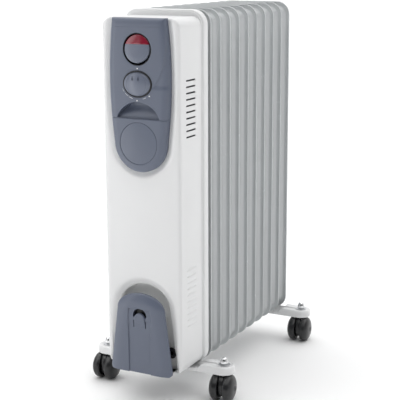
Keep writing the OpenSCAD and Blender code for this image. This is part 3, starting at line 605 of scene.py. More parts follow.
def louvre(side, z):
    """A lanced louvre: the sheet slopes out to a lower edge that has been sheared free."""
    us, vs = np.linspace(-1, 1, 25), np.linspace(0, 1, 9)
    rows = []
    for v in vs:
        out = 1.0 * np.sin(v * math.pi / 2) * (1 - np.abs(us) ** 6)
        row = [(side * (HOUSE_W / 2 - 0.05 + o), SLOT_Y0 + (u + 1) / 2 * (SLOT_Y1 - SLOT_Y0), z + 1.3 - 2.6 * v)
               for u, o in zip(us, out)]
        rows.append(row)
    rows.append([(side * (HOUSE_W / 2 - 0.3), p[1], p[2] + 0.05) for p in rows[-1]])
    rows.append([(side * (HOUSE_W / 2 - 0.3), p[1], p[2]) for p in rows[0]])
    n = len(us)
    verts = np.array([p for r in rows for p in r])
    faces = []
    for k in range(len(rows)):
        a, b = k * n, (k + 1) % len(rows) * n
        faces += [(a + i, a + i + 1, b + i + 1, b + i) for i in range(n - 1)]
    faces += [tuple(k * n for k in range(len(rows))), tuple(k * n + n - 1 for k in range(len(rows)))]
    return make("louvre", verts, faces)


louvres = [louvre(s, LOUVRE_Z - LOUVRE_PITCH * k) for s in (-1, 1) for k in range(10)]
housing = join("housing_pressing", [housing] + louvres)
finish_piece(housing, "heater", "white_paint", ["housing_shell"], 32)
# Painted shade: a black sheet inside each side, behind the slots, stands in for the dark inside of the housing.
for s in (-1, 1):
    x0, x1 = sorted((s * (HOUSE_W / 2 - 4.4), s * (HOUSE_W / 2 - 3.6)))
    shade_sheet = slab("vent_baffle", (x0, SLOT_Y0 - 4, FIN_Z0 + 389), (x1, SLOT_Y1 + 4, FIN_Z0 + 488), 0.3)
    shade_sheet.name = "vent_baffle_" + ("left" if s < 0 else "right")
    finish_piece(shade_sheet, "heater", "black_plastic")
print("housing faces after punching", len(housing.data.polygons))

# %% [markdown]
# ## Winder niche and core
# The cord is wound round a core inside an arched niche. The niche is a moulded tub whose lip is rounded
# where it meets the sheet, and the core carries the plate.

# %% Mould the niche and its core
NICHE_D = niche_hi[1] - HOUSE_Y
tub = [
    (70, NICHE_D), (0.4, NICHE_D), (0, NICHE_D - 0.4), (0, 6.2), (0, 5.3), (0.2, 4.9), (0.7, 4.7), (1.2, 4.9),
    (1.6, 5.6), (1.8, 7), (2.1, NICHE_D - 7), (2.8, NICHE_D - 4), (4.4, NICHE_D - 2), (7, NICHE_D - 1.2),
    (70, NICHE_D - 1.2),
]
rings = []
for inset, s in tub:
    o = arch(min(inset, 38), HOUSE_Z0 + 1.2, MARGIN, NICHE_HEAD, 12)
    o[:, 0] = np.clip(o[:, 0], -HOUSE_W / 2 + 0.9 + inset, HOUSE_W / 2 - 0.9 - inset)
    rings.append(at_y(o, HOUSE_Y + s))
niche = skin("winder_niche_moulding", rings)
mouth_low = (-low_half + 1.2, HOUSE_Y - 2, HOUSE_Z0 - 4)
mouth_high = (low_half - 1.2, HOUSE_Y + NICHE_D - 1.4, HOUSE_Z0 + 8)
carve(niche, slab("niche_mouth", mouth_low, mouth_high))
gland_lo, gland_hi = span("cable_gland")
GX, GZ = (gland_lo[0] + gland_hi[0]) / 2, (gland_lo[2] + gland_hi[2]) / 2
carve(niche, turned("gland_hole", [(7.1, HOUSE_Y + 10), (7.1, HOUSE_Y + 40)], (GX, 0, GZ), "y"))
finish_piece(niche, "heater", "white_plastic", ["winder_niche"], 32)
core_lo, core_hi = span("winder_core")
cw, ch, ccz = core_hi[0] - core_lo[0], core_hi[2] - core_lo[2], (core_hi[2] + core_lo[2]) / 2
wall = [
    (2.4, core_lo[1] + 1), (2.2, core_lo[1]), (0.4, core_lo[1]), (0, core_lo[1] + 0.5), (0.35, core_lo[1] + 16),
    (0.2, core_hi[1] - 4), (0, core_hi[1]), (2.4, core_hi[1]), (2.4, core_lo[1] + 1),
]
rings = [at_y(rounded_rect(cw - 2 * i, ch - 2 * i, 20 - i, ccz), s) for i, s in wall[:-1]]
finish_piece(skin("winder_core_moulding", rings, True), "heater", "white_plastic", ["winder_core"])
print("niche faces", len(niche.data.polygons))

# %% [markdown]
# ## Control panel
# The panel is crowned: its face rolls over to the sides and to the top edge. A crease starts at the right
# of the top edge, runs down the side and curves in to the knob, and the face to the right of it is lower.
# The upper and lower mouldings meet at a seam, below a scooped pocket for a finger.

# %% Mould the panel
inner = list(np.linspace(0, 24, 17)) + [25.5, 27, 28.5, 30, 31.5, 33]
outer = list(dense(0, 1, 21, low=False)[1:])
PANEL_BACK = HOUSE_Y + PANEL_DISH + 0.3
at_seam = np.array([0.15, 0.3, 0.6])
rows_up = np.concatenate([
    SEAM + at_seam, np.arange(SEAM + 1.6, 519, 1.8), np.arange(519, 560, 1.1),
    np.arange(560, 616, 1.8), dense(616, HOUSE_Z1, 14, low=False),
])
rows_low = np.concatenate([
    dense(PAN_Z - PANEL_R, PAN_Z - 30, 20, high=False), np.linspace(PAN_Z - 29, SEAM - 1.6, 34),
    SEAM - at_seam[::-1],
])


def seam_lip(z):
    """The mouldings turn in over a small radius where they meet."""
    d = abs(z - SEAM) - 0.15
    return 0.5 * (1 - math.sqrt(max(0.0, 1 - (1 - min(d, 0.5) / 0.5) ** 2)))


def lipped_face(x, z):
    return panel_face(x, z) + seam_lip(z)


upper = moulding("upper_panel_moulding", rows_up, panel_half, lipped_face, PANEL_BACK, inner, outer)
lower = moulding("lower_panel_moulding", rows_low, panel_half, lipped_face, PANEL_BACK, inner, outer)
print("panel faces", len(upper.data.polygons), len(lower.data.polygons))

# %% [markdown]
# The holes for the rocker and the knob have a small rounded edge, which moulded plastic always has. The
# pocket's back wall leans forward towards its lower edge, so a finger slides in under the arch.

# %% Open the panel
BEZEL_R = (bezel_hi[0] - bezel_lo[0]) / 2
ring_lo, ring_hi = span("knob_ring")
RING_A, RING_B = (ring_hi[0] - ring_lo[0]) / 2, (ring_hi[2] - ring_lo[2]) / 2
HOLE_GAP = 0.05
for name, a, b, z in (("rocker_hole", BEZEL_R, BEZEL_R, ROCK_Z), ("knob_hole", RING_A, RING_B, DIAL_Z)):
    outline = oval(a + HOLE_GAP, b + HOLE_GAP, 0, z)
    carve(upper, prism(name, outline, FACE_Y - 1, HOUSE_Y + 8, flare=0.35))
POCKET_HALF, POCKET_H, POCKET_D = 39.0, 27.0, 14.0
pocket_r = (POCKET_HALF ** 2 + POCKET_H ** 2) / (2 * POCKET_H)
half_angle = math.asin((POCKET_HALF - 1.5) / pocket_r)
arc_z = SEAM + POCKET_H - pocket_r
angles = np.linspace(half_angle, -half_angle, 48)
arc = [(pocket_r * math.sin(a), arc_z + pocket_r * math.cos(a)) for a in angles]
low_z = SEAM + 0.8
arc = [p for p in arc if p[1] > low_z + 1.2]
left, right = arc[-1][0], arc[0][0]
pocket = [(left - 0.6, low_z + 0.5), (left + 1.0, low_z)] + [(x, low_z) for x in np.linspace(-34, 34, 12)]
pocket = np.array(pocket + [(right - 1.0, low_z), (right + 0.6, low_z + 0.5)] + arc)
scoop = []
for z in np.linspace(low_z - 2, SEAM + POCKET_H + 2, 22):
    t = (z - low_z) / POCKET_H
    scoop.append((FACE_Y + 4.2 + (POCKET_D - 4.2) * float(ease(t, -0.05, 0.75)), z))
profile = np.array([(FACE_Y - 3, scoop[0][1])] + scoop + [(FACE_Y - 3, scoop[-1][1])])
side = lambda x: np.stack([np.full(len(profile), x), profile[:, 0], profile[:, 1]], 1)
cutter = skin("scoop", [side(x) for x in np.linspace(-50, 50, 9)])
carve(cutter, prism("arch", pocket, FACE_Y - 1, HOUSE_Y + 12, flare=0.7), "INTERSECT")
tub_wall = prism("pocket_tub", grow(pocket, 1.6), HOUSE_Y - 3, HOUSE_Y + 6.4)
carve(upper, tub_wall, "UNION")
carve(upper, cutter)
finish_piece(upper, "heater", "blue_grey_plastic", ["control_panel"], 30)
disc_hole = oval(DISC_R + 0.2, DISC_R + 0.2, 0, PAN_Z, 128)
carve(lower, prism("disc_hole", disc_hole, FACE_Y - 1, HOUSE_Y + 8, flare=0.5))
finish_piece(lower, "heater", "blue_grey_plastic", ["lower_panel"], 30)
f = FACE_Y
blank = [(0.5, f + 0.02), (DISC_R - 0.9, f), (DISC_R - 0.45, f + 0.08), (DISC_R - 0.12, f + 0.4)]
blank += [(DISC_R, f + 0.9), (DISC_R, f + 3), (0.5, f + 3)]
finish_piece(turned("timer_blank", blank, (0, 0, PAN_Z), "y", 128), "heater", "blue_grey_plastic", ["blank_disc"])
print("upper panel faces", len(upper.data.polygons))

# %% [markdown]
# ## Rocker switch
# A round rocker pivots in a black bezel. Its upper part is a red lens over a neon lamp and the rest is a
# plain cap. It is drawn straight and then turned to the resting angle of the CAD, upper edge pressed in.

# %% Build the rocker
press = next(j for j in frame["joints"] if j["name"] == "rocker_press")
PIVOT = np.array(press["pos_m"]) / MM
ROCK_R = BEZEL_R - 3.0
TILT, ARM = math.radians(-7), 10.0


def rocker_disc(name):
    r = ROCK_R
    p = [(0.3, -0.35), (6, -0.3), (12, -0.12), (r - 1.6, 0.2), (r - 0.8, 0.42), (r - 0.2, 0.95)]
    p += [(r, 1.7), (r, 4.6), (r - 0.4, 5), (0.3, 5)]
    return turned(name, p, (0, 0, 0), "y", 96)


def cut_plane(obj, z, keep_above):
    """Keeps the part of obj above or below a height, and closes it."""
    bm = bmesh.new()
    bm.from_mesh(obj.data)
    res = bmesh.ops.bisect_plane(bm, geom=bm.verts[:] + bm.edges[:] + bm.faces[:], plane_co=(0, 0, z * MM),
                                 plane_no=(0, 0, 1), clear_inner=keep_above, clear_outer=not keep_above)
    bmesh.ops.holes_fill(bm, edges=[e for e in res["geom_cut"] if isinstance(e, bmesh.types.BMEdge)])
    bmesh.ops.recalc_face_normals(bm, faces=bm.faces)
    bm.to_mesh(obj.data)
    bm.free()
    return obj


def to_rest(obj):
    to_pivot, back = Matrix.Translation(Vector(PIVOT * MM)), Matrix.Translation((0, -ARM * MM, 0))
    obj.data.transform(to_pivot @ Matrix.Rotation(TILT, 4, "X") @ back)
    return obj


LENS_Z = 6.6
cap = soften(cut_plane(rocker_disc("cap"), LENS_Z - 0.05, False), 0.25)
hub = slab("hub", (-8, 4.8, -5), (8, ARM + 3, 5), 0.6)
cap = to_rest(join("rocker_cap", [cap, hub]))
finish_piece(cap, "rocker", "control_plastic", ["rocker"])
lens = cut_plane(rocker_disc("lens"), LENS_Z + 0.05, True)
finish_piece(to_rest(soften(lens, 0.2)), "rocker", "red_lens", ["rocker_lens"])
lens.name = "rocker_lens_moulding"
r_in, r_out = BEZEL_R - 0.9, BEZEL_R
f, b = FACE_Y, bezel_hi[1]
ring = [(r_in, f + 0.6), (r_in + 0.15, f + 0.15), (r_in + 0.4, f), (r_out - 0.3, f), (r_out, f + 0.3)]
ring += [(r_out, b), (r_in, b), (r_in, f + 0.6)]
bezel = turned("rocker_bezel_ring", ring, (0, 0, ROCK_Z), "y", 96)
finish_piece(bezel, "heater", "black_plastic", ["rocker_bezel"])
print("pivot", PIVOT, "rocker radius", ROCK_R)

# %% [markdown]
# ## Thermostat knob
# A round knob turns inside an oval collar, and both carry one continuous dome, so at a glance the whole
# oval looks like the knob. Two small notches in the dome are its pointer. A black ring frames the oval.

# %% Build the knob
KNOB_R = (span("knob")[1][0] - span("knob")[0][0]) / 2
COL_A, COL_B = (collar_hi[0] - collar_lo[0]) / 2, (collar_hi[2] - collar_lo[2]) / 2
TIP = FACE_Y - span("knob")[0][1]


def dome(t):
    """Height of the dome in front of the face, t from 0 in the middle to 1 at the oval's edge."""
    return 1.4 + (TIP - 1.4) * (1 - t ** 2.3) ** 0.75


knob_edge = dome(KNOB_R / 20.9)
profile = [(0.2, -TIP)]
for r in np.linspace(2, KNOB_R, 14):
    profile.append((r, -(knob_edge + (TIP - knob_edge) * (1 - (r / KNOB_R) ** 2.2))))
skirt = KNOB_R + 0.12
profile += [(skirt, -knob_edge + 0.35), (skirt, 2), (6, 2), (6, 5.8), (3.1, 5.8), (3.1, 0), (0.2, 0)]
knob = turned("thermostat_knob", profile, (0, FACE_Y, DIAL_Z), "y", 96)
for s in (-1, 1):
    notch = rounded_rect(2.3, 6.7, 1.1, DIAL_Z + 9.3)
    notch[:, 0] += 5.5 * s
    carve(knob, prism("notch", notch, FACE_Y - TIP - 1, FACE_Y - TIP + 2.6))
finish_piece(knob, "knob", "control_plastic", ["knob"], 30)
t = np.linspace(0, 2 * math.pi, 128, endpoint=False)
hole_r = KNOB_R + 0.25
rings = []
for k in np.linspace(0, 1, 9):
    a, b = hole_r + (COL_A - hole_r) * k, hole_r + (COL_B - hole_r) * k
    h = knob_edge - 0.05 - (knob_edge - 1.65) * k ** 1.6
    rings.append(np.stack([a * np.cos(t), np.full(128, FACE_Y - h), DIAL_Z + b * np.sin(t)], 1))
rings.append(at_y(oval(COL_A, COL_B, 0, DIAL_Z, 128), FACE_Y + 2.5))
rings.append(at_y(oval(hole_r, hole_r, 0, DIAL_Z, 128), FACE_Y + 2.5))
finish_piece(skin("knob_collar_dome", rings, True), "heater", "control_plastic", ["knob_collar"])
ring = [(0, -0.2), (0.3, -0.8), (0.9, -1.15), (1.7, -1.15), (2.3, -0.8), (2.6, -0.1), (2.6, 2.4), (0, 2.4)]
rings = [at_y(oval(COL_A + d, COL_B + d, 0, DIAL_Z, 128), FACE_Y + s) for d, s in ring]
finish_piece(skin("knob_ring_seal", rings, True), "heater", "black_plastic", ["knob_ring"])
print("knob", KNOB_R, "collar", COL_A, COL_B, "edge height", round(knob_edge, 2))

# %% [markdown]
# ## Dial marks
# Settings are pad printed in white round the knob. They are thin inked shapes on the panel's own face:
# dots at the ends of the scale and a wedge that swells round it. No lettering is made.


# %% Print the dial marks
def printed(outline):
    """A thin layer of ink that follows the panel's face."""
    verts, n = [], len(outline)
    for lift in (0.0, 0.05):
        verts += [(x, panel_face(x, z) - lift, z) for x, z in outline]
    faces = [tuple(range(n)), tuple(range(n, 2 * n))]
    faces += [(i, (i + 1) % n, n + (i + 1) % n, n + i) for i in range(n)]
    return make("ink", verts, faces)


dots = ((0, DIAL_Z + 24.2), (21, DIAL_Z - 18), (-1.2, DIAL_Z - 26))
marks = [printed(oval(1.1, 1.1, x, z, 20)) for x, z in dots]
for a0, a1, w in ((200, 214, 0.35), (219, 233, 0.5), (238, 252, 0.65), (288, 302, 0.5)):
    aa = np.radians(np.linspace(a0, a1, 10))
    out = [((RING_A + 2.6 + w) * math.cos(a), DIAL_Z + (RING_B + 2.6 + w) * math.sin(a)) for a in aa]
    back = [((RING_A + 2.6) * math.cos(a), DIAL_Z + (RING_B + 2.6) * math.sin(a)) for a in aa[::-1]]
    marks.append(printed(np.array(out + back)))
finish_piece(join("dial_marks", marks), "heater", "white_plastic")
print("marks", len(marks))

# %% [markdown]
# ## Winder plate
# The plate holds the wound cord in. Its sides and top are crowned and its foot is cut square, with a
# shallow band down the middle. At the top of the band a springy tongue and a round hole grip the plug.


# %% Shape of the winder plate
def plate_half_at(z):
    if z > SPRING_Z:
        return PLATE_TOP_HALF * math.sqrt(max(0.0, 1 - ((z - SPRING_Z) / ARCH_H) ** 2))
    w = PLATE_HALF + (PLATE_TOP_HALF - PLATE_HALF) * (z - plate_lo[2]) / (SPRING_Z - plate_lo[2])
    drop = plate_lo[2] + 7 - z
    return w - 7 + math.sqrt(max(49 - drop * drop, 0)) if drop > 0 else w


def plate_edge(x, z):
    if z <= SPRING_Z:
        return (plate_half_at(max(z, plate_lo[2] + 7)) - abs(x)) * 0.99
    dx, dz = x / PLATE_TOP_HALF, (z - SPRING_Z) / ARCH_H
    r = math.hypot(dx, dz)
    return (1 - r) * math.hypot(x, z - SPRING_Z) / max(r, 1e-6)


CROWN = HOUSE_Y - plate_lo[1]
BAND, BAND_TOP, BAND_D = 21.0, SPRING_Z + 3, 1.9


def band(x, z):
    """0 on the plate, 1 in the band, with rounded upper corners."""
    r = 3.0
    qx, qz = abs(x) - (BAND - r), z - (BAND_TOP - r)
    d = math.hypot(max(qx, 0), max(qz, 0)) + min(max(qx, qz), 0) - r
    return 1 - float(ease(d, -0.75, 0.0))


def plate_face(x, z):
    d = max(plate_edge(x, z), 0)
    roll = 20.0
    h = 10.4 + 0.9 * min(d, 1.2) / 1.2
    h += (CROWN - 11.3) * (1 - (1 - min(d, roll) / roll) ** 2.0)
    foot = z - plate_lo[2]
    h -= 0.8 * (1 - math.sqrt(max(0.0, 1 - (1 - min(foot, 0.8) / 0.8) ** 2)))
    return HOUSE_Y - h + BAND_D * band(x, z)


inner = [0, 2, 4, 6, 8, 10, 12, 14, 16, 18, 19.4, 20.25, 20.45, 20.65, 20.85, 21, 22, 24, 27, 30]
outer = list(dense(0, 1, 17, low=False)[1:])
near_foot = [0, 0.15, 0.4, 0.8, 1.6, 3, 5, 7]
rows = np.concatenate([near_foot, np.arange(10, BAND_TOP - plate_lo[2] - 4, 4)]) + plate_lo[2]
rows = np.concatenate([
    rows, np.arange(BAND_TOP - 4, BAND_TOP + 0.3, 0.3), np.arange(BAND_TOP + 1.5, SPRING_Z + 10, 1.8),
    dense(SPRING_Z + 11, SPRING_Z + ARCH_H - 0.02, 20, low=False),
])
plate = moulding("winder_plate_moulding", rows, plate_half_at, plate_face, HOUSE_Y - 7.4, inner, outer)
print("plate faces", len(plate.data.polygons), "crown", CROWN)

# %% [markdown]
# The clip is cut through the plate: a round-topped hole for the plug, and a slit each side of a tongue, so
# that the tongue can bend. A black sheet behind the hole is painted shade, standing in for the shadow inside it.

# %% Cut the clip and build its tongue
CLIP_Z, CLIP_R = SPRING_Z - 9, 12.5
angles = np.linspace(-0.22, math.pi + 0.22, 40)
hole = np.array([(CLIP_R * math.cos(a), CLIP_Z + CLIP_R * math.sin(a)) for a in angles])
carve(plate, prism("clip_hole", hole, plate_lo[1] - 1, HOUSE_Y - 5))
for s in (-1, 1):
    slit = rounded_rect(1.5, 12, 0.7, CLIP_Z - 14)
    slit[:, 0] += 11 * s
    carve(plate, prism("slit", slit, plate_lo[1] - 1, HOUSE_Y - 5))
floor_y = HOUSE_Y - CROWN + BAND_D
TONGUE_TOP = CLIP_Z + 4.6
TONGUE_R = 9.6
TONGUE_CZ = TONGUE_TOP - TONGUE_R


def tongue_half(z):
    return TONGUE_R if z <= TONGUE_CZ else math.sqrt(max(TONGUE_R ** 2 - (z - TONGUE_CZ) ** 2, 0))


def tongue_face(x, z):
    t = float(ease(z, CLIP_Z - 19, CLIP_Z - 4))
    reach = abs(x) if z <= TONGUE_CZ else math.hypot(x, z - TONGUE_CZ)
    edge = min(max(TONGUE_R - reach, 0) / 2.2, 1)
    return floor_y + 0.1 - 2.15 * t + 0.9 * t * (1 - math.sqrt(max(0.0, 1 - (1 - edge) ** 2)))


inner, outer = list(np.linspace(0, 5, 6)), list(dense(0, 1, 12, low=False)[1:])
tip = dense(TONGUE_CZ + 0.4, TONGUE_TOP - 0.02, 18, low=False)
rows = np.concatenate([np.linspace(CLIP_Z - 20, TONGUE_CZ, 24), tip])
tongue = moulding("tongue", rows, tongue_half, tongue_face, floor_y + 2.0, inner, outer)
plate = join("winder_plate_moulding", [plate, tongue])
finish_piece(plate, "heater", "blue_grey_plastic", ["winder_plate"], 30)
# Painted shade: a black sheet behind the clip hole makes the hole read as dark shadow.
hole_shade_sheet = prism("plug_clip_hole_shade_sheet", rounded_rect(32, 34, 5, CLIP_Z - 4), HOUSE_Y - 7.3, HOUSE_Y - 5.5, 0.5)
finish_piece(hole_shade_sheet, "heater", "black_plastic")
print("plate faces after cutting", len(plate.data.polygons))

# %% [markdown]
# ## Feet
# Each foot is one pressed channel: a low middle under the fins and a raised round end at each side that
# carries a caster. A bead runs round the rim to stiffen it, and a flat boss takes the washer.

# %% Press the feet
foot_lo, foot_hi = span("rear_foot")
FOOT_HALF = foot_hi[0]
FOOT_W = foot_hi[1] - foot_lo[1]
PAD_Z, RIM_Z = foot_hi[2], foot_lo[2]
TRACK = FOOT_HALF - FOOT_W / 2
MID_Z = FIN_Z0


def foot_plan(inset, n=14, side=60):
    """Stadium in X and Y."""
    r = FOOT_W / 2 - inset
    a = np.linspace(-math.pi / 2, math.pi / 2, n)
    right = np.stack([TRACK + r * np.cos(a), r * np.sin(a)], 1)
    left = np.stack([-TRACK - r * np.cos(a), -r * np.sin(a)], 1)
    xs = np.linspace(TRACK, -TRACK, side)[1:-1]
    edge = np.full(len(xs), r)
    return np.concatenate([right, np.stack([xs, edge], 1), left, np.stack([-xs, -edge], 1)])


SKIRT = -13.2
FOOT_SECTION = [
    (0, SKIRT), (0, -4.2), (0.25, -2.7), (0.9, -1.2), (2.0, -0.35), (3.2, 0), (4.4, -0.3), (5.6, -1.1),
    (7, -1.5), (9, -1.6), (12, -1.6), (15, -1.6), (17.6, -1.6),
]


def foot_ring(inset, drop, y, sheet=0.0):
    o = foot_plan(inset)
    x = np.abs(o[:, 0])
    base = MID_Z + (PAD_Z - MID_Z) * ease(x, 69.5, 79)
    z = base + drop
    to_stem = np.hypot(x - TRACK, o[:, 1])
    z = np.maximum(z, base - 0.02 - 40 * ease(to_stem, 10.6, 13.5)) if inset > 5 else z
    z = np.maximum(z, RIM_Z) - sheet
    return np.stack([o[:, 0], o[:, 1] + y, np.maximum(z, RIM_Z)], 1)


def build_foot(node):
    lo, hi = span(node)
    y = (lo[1] + hi[1]) / 2
    outer = [foot_ring(i, d, y) for i, d in FOOT_SECTION]
    inside = []
    for i, d in FOOT_SECTION:
        sheet = 1.8 if d > SKIRT else 0.0
        inside.append(foot_ring(max(i, 1.6) + (0.4 if i < 1 else 0), d, y, sheet))
    return finish_piece(skin(node + "_pressing", outer[::-1] + inside), "heater", "white_paint", [node], 40)


for node in ("front_foot", "rear_foot"):
    foot = build_foot(node)
print("foot faces", len(foot.data.polygons), "hole_shade_sheet", PAD_Z, "rim", RIM_Z, "track", TRACK)

# %% [markdown]
# ## Fixings
# Chromed dome nuts close the caster stems on top of the feet, over broad washers. Below, studs and a
# U-bolt with wing nuts clamp the feet to the radiator. The threads are cut as a run of small grooves.

# %% Build the fixings
casters = ["fr", "fl", "rr", "rl"]
swivels = [j for j in frame["joints"] if j["name"].startswith("swivel_")]
stems = {j["name"][-2:]: np.array(j["pos_m"]) / MM for j in swivels}
nuts, washers = [], []
for c in casters:
    x, y, _ = stems[c]
    z = PAD_Z
    w = [(2.6, 0.1), (9.4, 0), (9.9, 0.3), (10, 0.6), (9.8, 1.0), (9.2, 1.2), (2.6, 1.2), (2.6, 0.1)]
    washers.append(turned("washer", [(r, z + h) for r, h in w], (x, y, 0), "z", 48))
    z += 1.2
    t = np.radians(np.arange(0, 360, 60) + 8)
    hexa = lambda r: np.stack([x + r * np.cos(t), y + r * np.sin(t)], 1)
    levels = ((6.7, 0), (7.2, 0.4), (7.2, 4.3), (6.4, 5.1))
    prism_nut = skin("hex", [at_z(hexa(r), z + h) for r, h in levels])
    soften(prism_nut, 0.25)
    d = [(6.1, z + 4.6), (6.15, z + 5.2), (5.8, z + 5.6)]
    d += [(5.8 * math.cos(a), z + 5.6 + 6.3 * math.sin(a)) for a in np.radians(np.arange(10, 90, 10))]
    d.append((0.15, z + 11.9))
    nuts += [prism_nut, turned("dome", d, (x, y, 0), "z", 40)]
finish_piece(join("dome_nut_set", nuts), "heater", "chrome_plate", ["acorn_nuts"])
finish_piece(join("washer_set", washers), "heater", "bright_steel", ["washers"])

bolt_lo = span("foot_bolts")[0]
nut_hi = span("wing_nuts")[1]
REAR_Y = (span("rear_foot")[0][1] + span("rear_foot")[1][1]) / 2
BOLT_X, BOLT_R = 25.0, 3.0
STUD_Y = frame_lo[1] + 2 + 1 + 4 + 0.5


def thread(r, z0, z1, pitch=1.0):
    """Profile of a threaded shank."""
    out, z = [(r - 0.7, z0), (r - 0.35, z0 + 0.3)], z0 + 0.5
    while z < z1 - pitch:
        out += [(r, z), (r, z + 0.12), (r - 0.45, z + 0.5)]
        z += pitch
    return out


bolts = []
for s in (-1, 1):
    r, z = BOLT_R, FIN_Z0
    head = [(r, z), (r, z + 1), (r + 1, z + 1), (r + 1, z + 3.6), (r + 0.6, z + 4), (0.2, z + 4)]
    shank = [(0.2, bolt_lo[2])] + thread(r, bolt_lo[2], z - 1) + head
    bolts.append(turned("stud", shank, (s * BOLT_X, STUD_Y, 0), "z", 24))
path = [(-BOLT_X, z) for z in np.arange(FIN_Z0 + 2, FIN_Z0 + HEADER, 4)]
path += [(-BOLT_X * math.cos(a), FIN_Z0 + HEADER + BOLT_X * math.sin(a)) for a in np.linspace(0, math.pi, 33)]
path += [(BOLT_X, z) for z in np.arange(FIN_Z0 + 2, FIN_Z0 + HEADER, 4)[::-1]]
path = np.array(path)
tangent = np.gradient(path, axis=0)
tangent /= np.linalg.norm(tangent, axis=1, keepdims=True)
a = np.linspace(0, 2 * math.pi, 20, endpoint=False)
rings = []
for p, q in zip(path, tangent):
    across = BOLT_R * np.cos(a)
    rings.append(np.stack([p[0] - across * q[1], REAR_Y + BOLT_R * np.sin(a), p[1] + across * q[0]], 1))
bolts.append(skin("u_bolt", rings))
for s in (-1, 1):
    shank = [(0.2, bolt_lo[2])] + thread(BOLT_R, bolt_lo[2], FIN_Z0 + 1)
    shank += [(BOLT_R, FIN_Z0 + 2.5), (0.2, FIN_Z0 + 2.5)]
    bolts.append(turned("leg", shank, (s * BOLT_X, REAR_Y, 0), "z", 24))
finish_piece(join("foot_bolt_set", bolts), "heater", "bright_steel", ["foot_bolts"])


BOSS = [(3.05, -8), (4.9, -8), (5.2, -7.6), (5.9, -1.2), (5.6, -0.2), (5.2, 0), (3.05, 0), (3.05, -8)]
WING = [
    (4.5, -2.2), (7.5, -2.6), (10, -3.2), (12.4, -2.4), (13.7, -3.4), (13.9, -5.4), (12.6, -7.2), (10, -7.8),
    (7, -7.4), (4.5, -6.8),
]


def wing_nut(x, y):
    top = nut_hi[2]
    parts = [turned("boss", [(r, top + h) for r, h in BOSS], (x, y, 0), "z", 32)]
    for s in (-1, 1):
        wing = np.array([(x + s * px, top + pz) for px, pz in WING])
        parts.append(prism("wing", wing[::-s], y - 1.15, y + 1.15, 0.5))
    return parts


parts = [p for s in (-1, 1) for y in (STUD_Y, REAR_Y) for p in wing_nut(s * BOLT_X, y)]
finish_piece(join("wing_nut_set", parts), "heater", "bright_steel", ["wing_nuts"])
print("stems at", {c: [round(float(v), 1) for v in stems[c]] for c in casters})

# %% [markdown]
# ## Casters
# Each caster is a moulded body with a hooded neck, a steel axle through it and a wheel on each side. The
# wheels are dished mouldings: a domed outer face with a small hub, a tread with rounded shoulders, and an
# open inner side with ribs.

# %% Build the casters
wheel_lo, wheel_hi = span("wheel_fr_a")
WHEEL_R = (wheel_hi[2] - wheel_lo[2]) / 2
YAW = {"fr": 8, "fl": 3, "rr": 5, "rl": -8}
TRAIL, BODY_T = 8.0, 8.0
X0, X1 = BODY_T / 2 + 0.5, 22.0


def wheel_profile():
    """(radius, distance out along the axle), from the bore round the outside and back."""
    w = X1 - X0
    face = [(2.56, 0), (2.56, w - 3.2), (0.15, w - 3.0), (0.15, w - 0.7), (3.2, w - 0.7), (3.9, w - 0.35)]
    face += [(4.3, w - 0.05), (4.7, w - 0.1), (5.0, w - 0.5), (5.6, w - 0.62)]
    for a in np.linspace(8, 82, 12):
        s, c = math.sin(math.radians(a)), math.cos(math.radians(a))
        face.append((5.6 + (WHEEL_R - 5.6) * s, w * 0.42 + (w * 0.58 - 0.62) * c))
    face += [(WHEEL_R - 0.05, w * 0.42), (WHEEL_R, w * 0.33), (WHEEL_R, 3.4)]
    for a in (25, 50, 75, 90):
        s, c = math.sin(math.radians(a)), math.cos(math.radians(a))
        face.append((WHEEL_R - 3.0 * (1 - c), 3.0 * (1 - s)))
    face += [(WHEEL_R - 4, 0.1), (WHEEL_R - 4.4, 0.8), (WHEEL_R - 4.6, w - 9)]
    return face + [(8.6, w - 5.5), (8, 0.3), (7.7, 0), (2.56, 0)]


def place(obj, c, mirrored):
    m = Matrix.Translation((0, -TRAIL * MM, WHEEL_R * MM))
    if mirrored:
        m = m @ Matrix.Scale(-1, 4, (1, 0, 0))
    x, y, _ = stems[c]
    m = Matrix.Translation((x * MM, y * MM, 0)) @ Matrix.Rotation(math.radians(YAW[c]), 4, "Z") @ m
    obj.data.transform(m)
    if mirrored:
        turn_out(obj)
    return obj


for c in casters:
    for letter in "ab":
        wheel = turned("roller_wheel", [(r, s + X0) for r, s in wheel_profile()], (0, 0, 0), "x", 64)
        ribs = []
        for k in range(6):
            rib = slab("rib", (X0 + 1.2, 8.1, -0.6), (X0 + 7.5, WHEEL_R - 4.2, 0.6), 0.2)
            rib.data.transform(Matrix.Rotation(math.radians(60 * k), 4, "X"))
            ribs.append(rib)
        wheel = join("roller_wheel_%s_%s" % (c, letter), [wheel] + ribs)
        place(wheel, c, letter == "b")
        finish_piece(wheel, "roller_%s_%s" % (c, letter), "caster_plastic", ["wheel_%s_%s" % (c, letter)], 30)
print("wheel radius", WHEEL_R, "faces", len(wheel.data.polygons))


# %% [markdown]
# The body is a flat web with a round neck on top. Its stem is a plain steel pin with a flange that bears
# against the underside of the foot, and a thread for the dome nut.


# %% Build the caster bodies
def body_outline():
    """Side view of the body in Y and Z, axle at the origin, neck to the right."""
    r = WHEEL_R - 7
    pts = [(r * math.cos(a), r * math.sin(a)) for a in np.radians(np.linspace(200, 345, 22))]
    pts += [(14.6, 2), (14.6, 14), (14.4, 20.5), (13.4, 22.4), (3, 23.2), (-3, 22.2), (-9.4, 18.5)]
    pts += [(-13.5, 12.5), (-15.6, 5)]
    return np.array(pts)


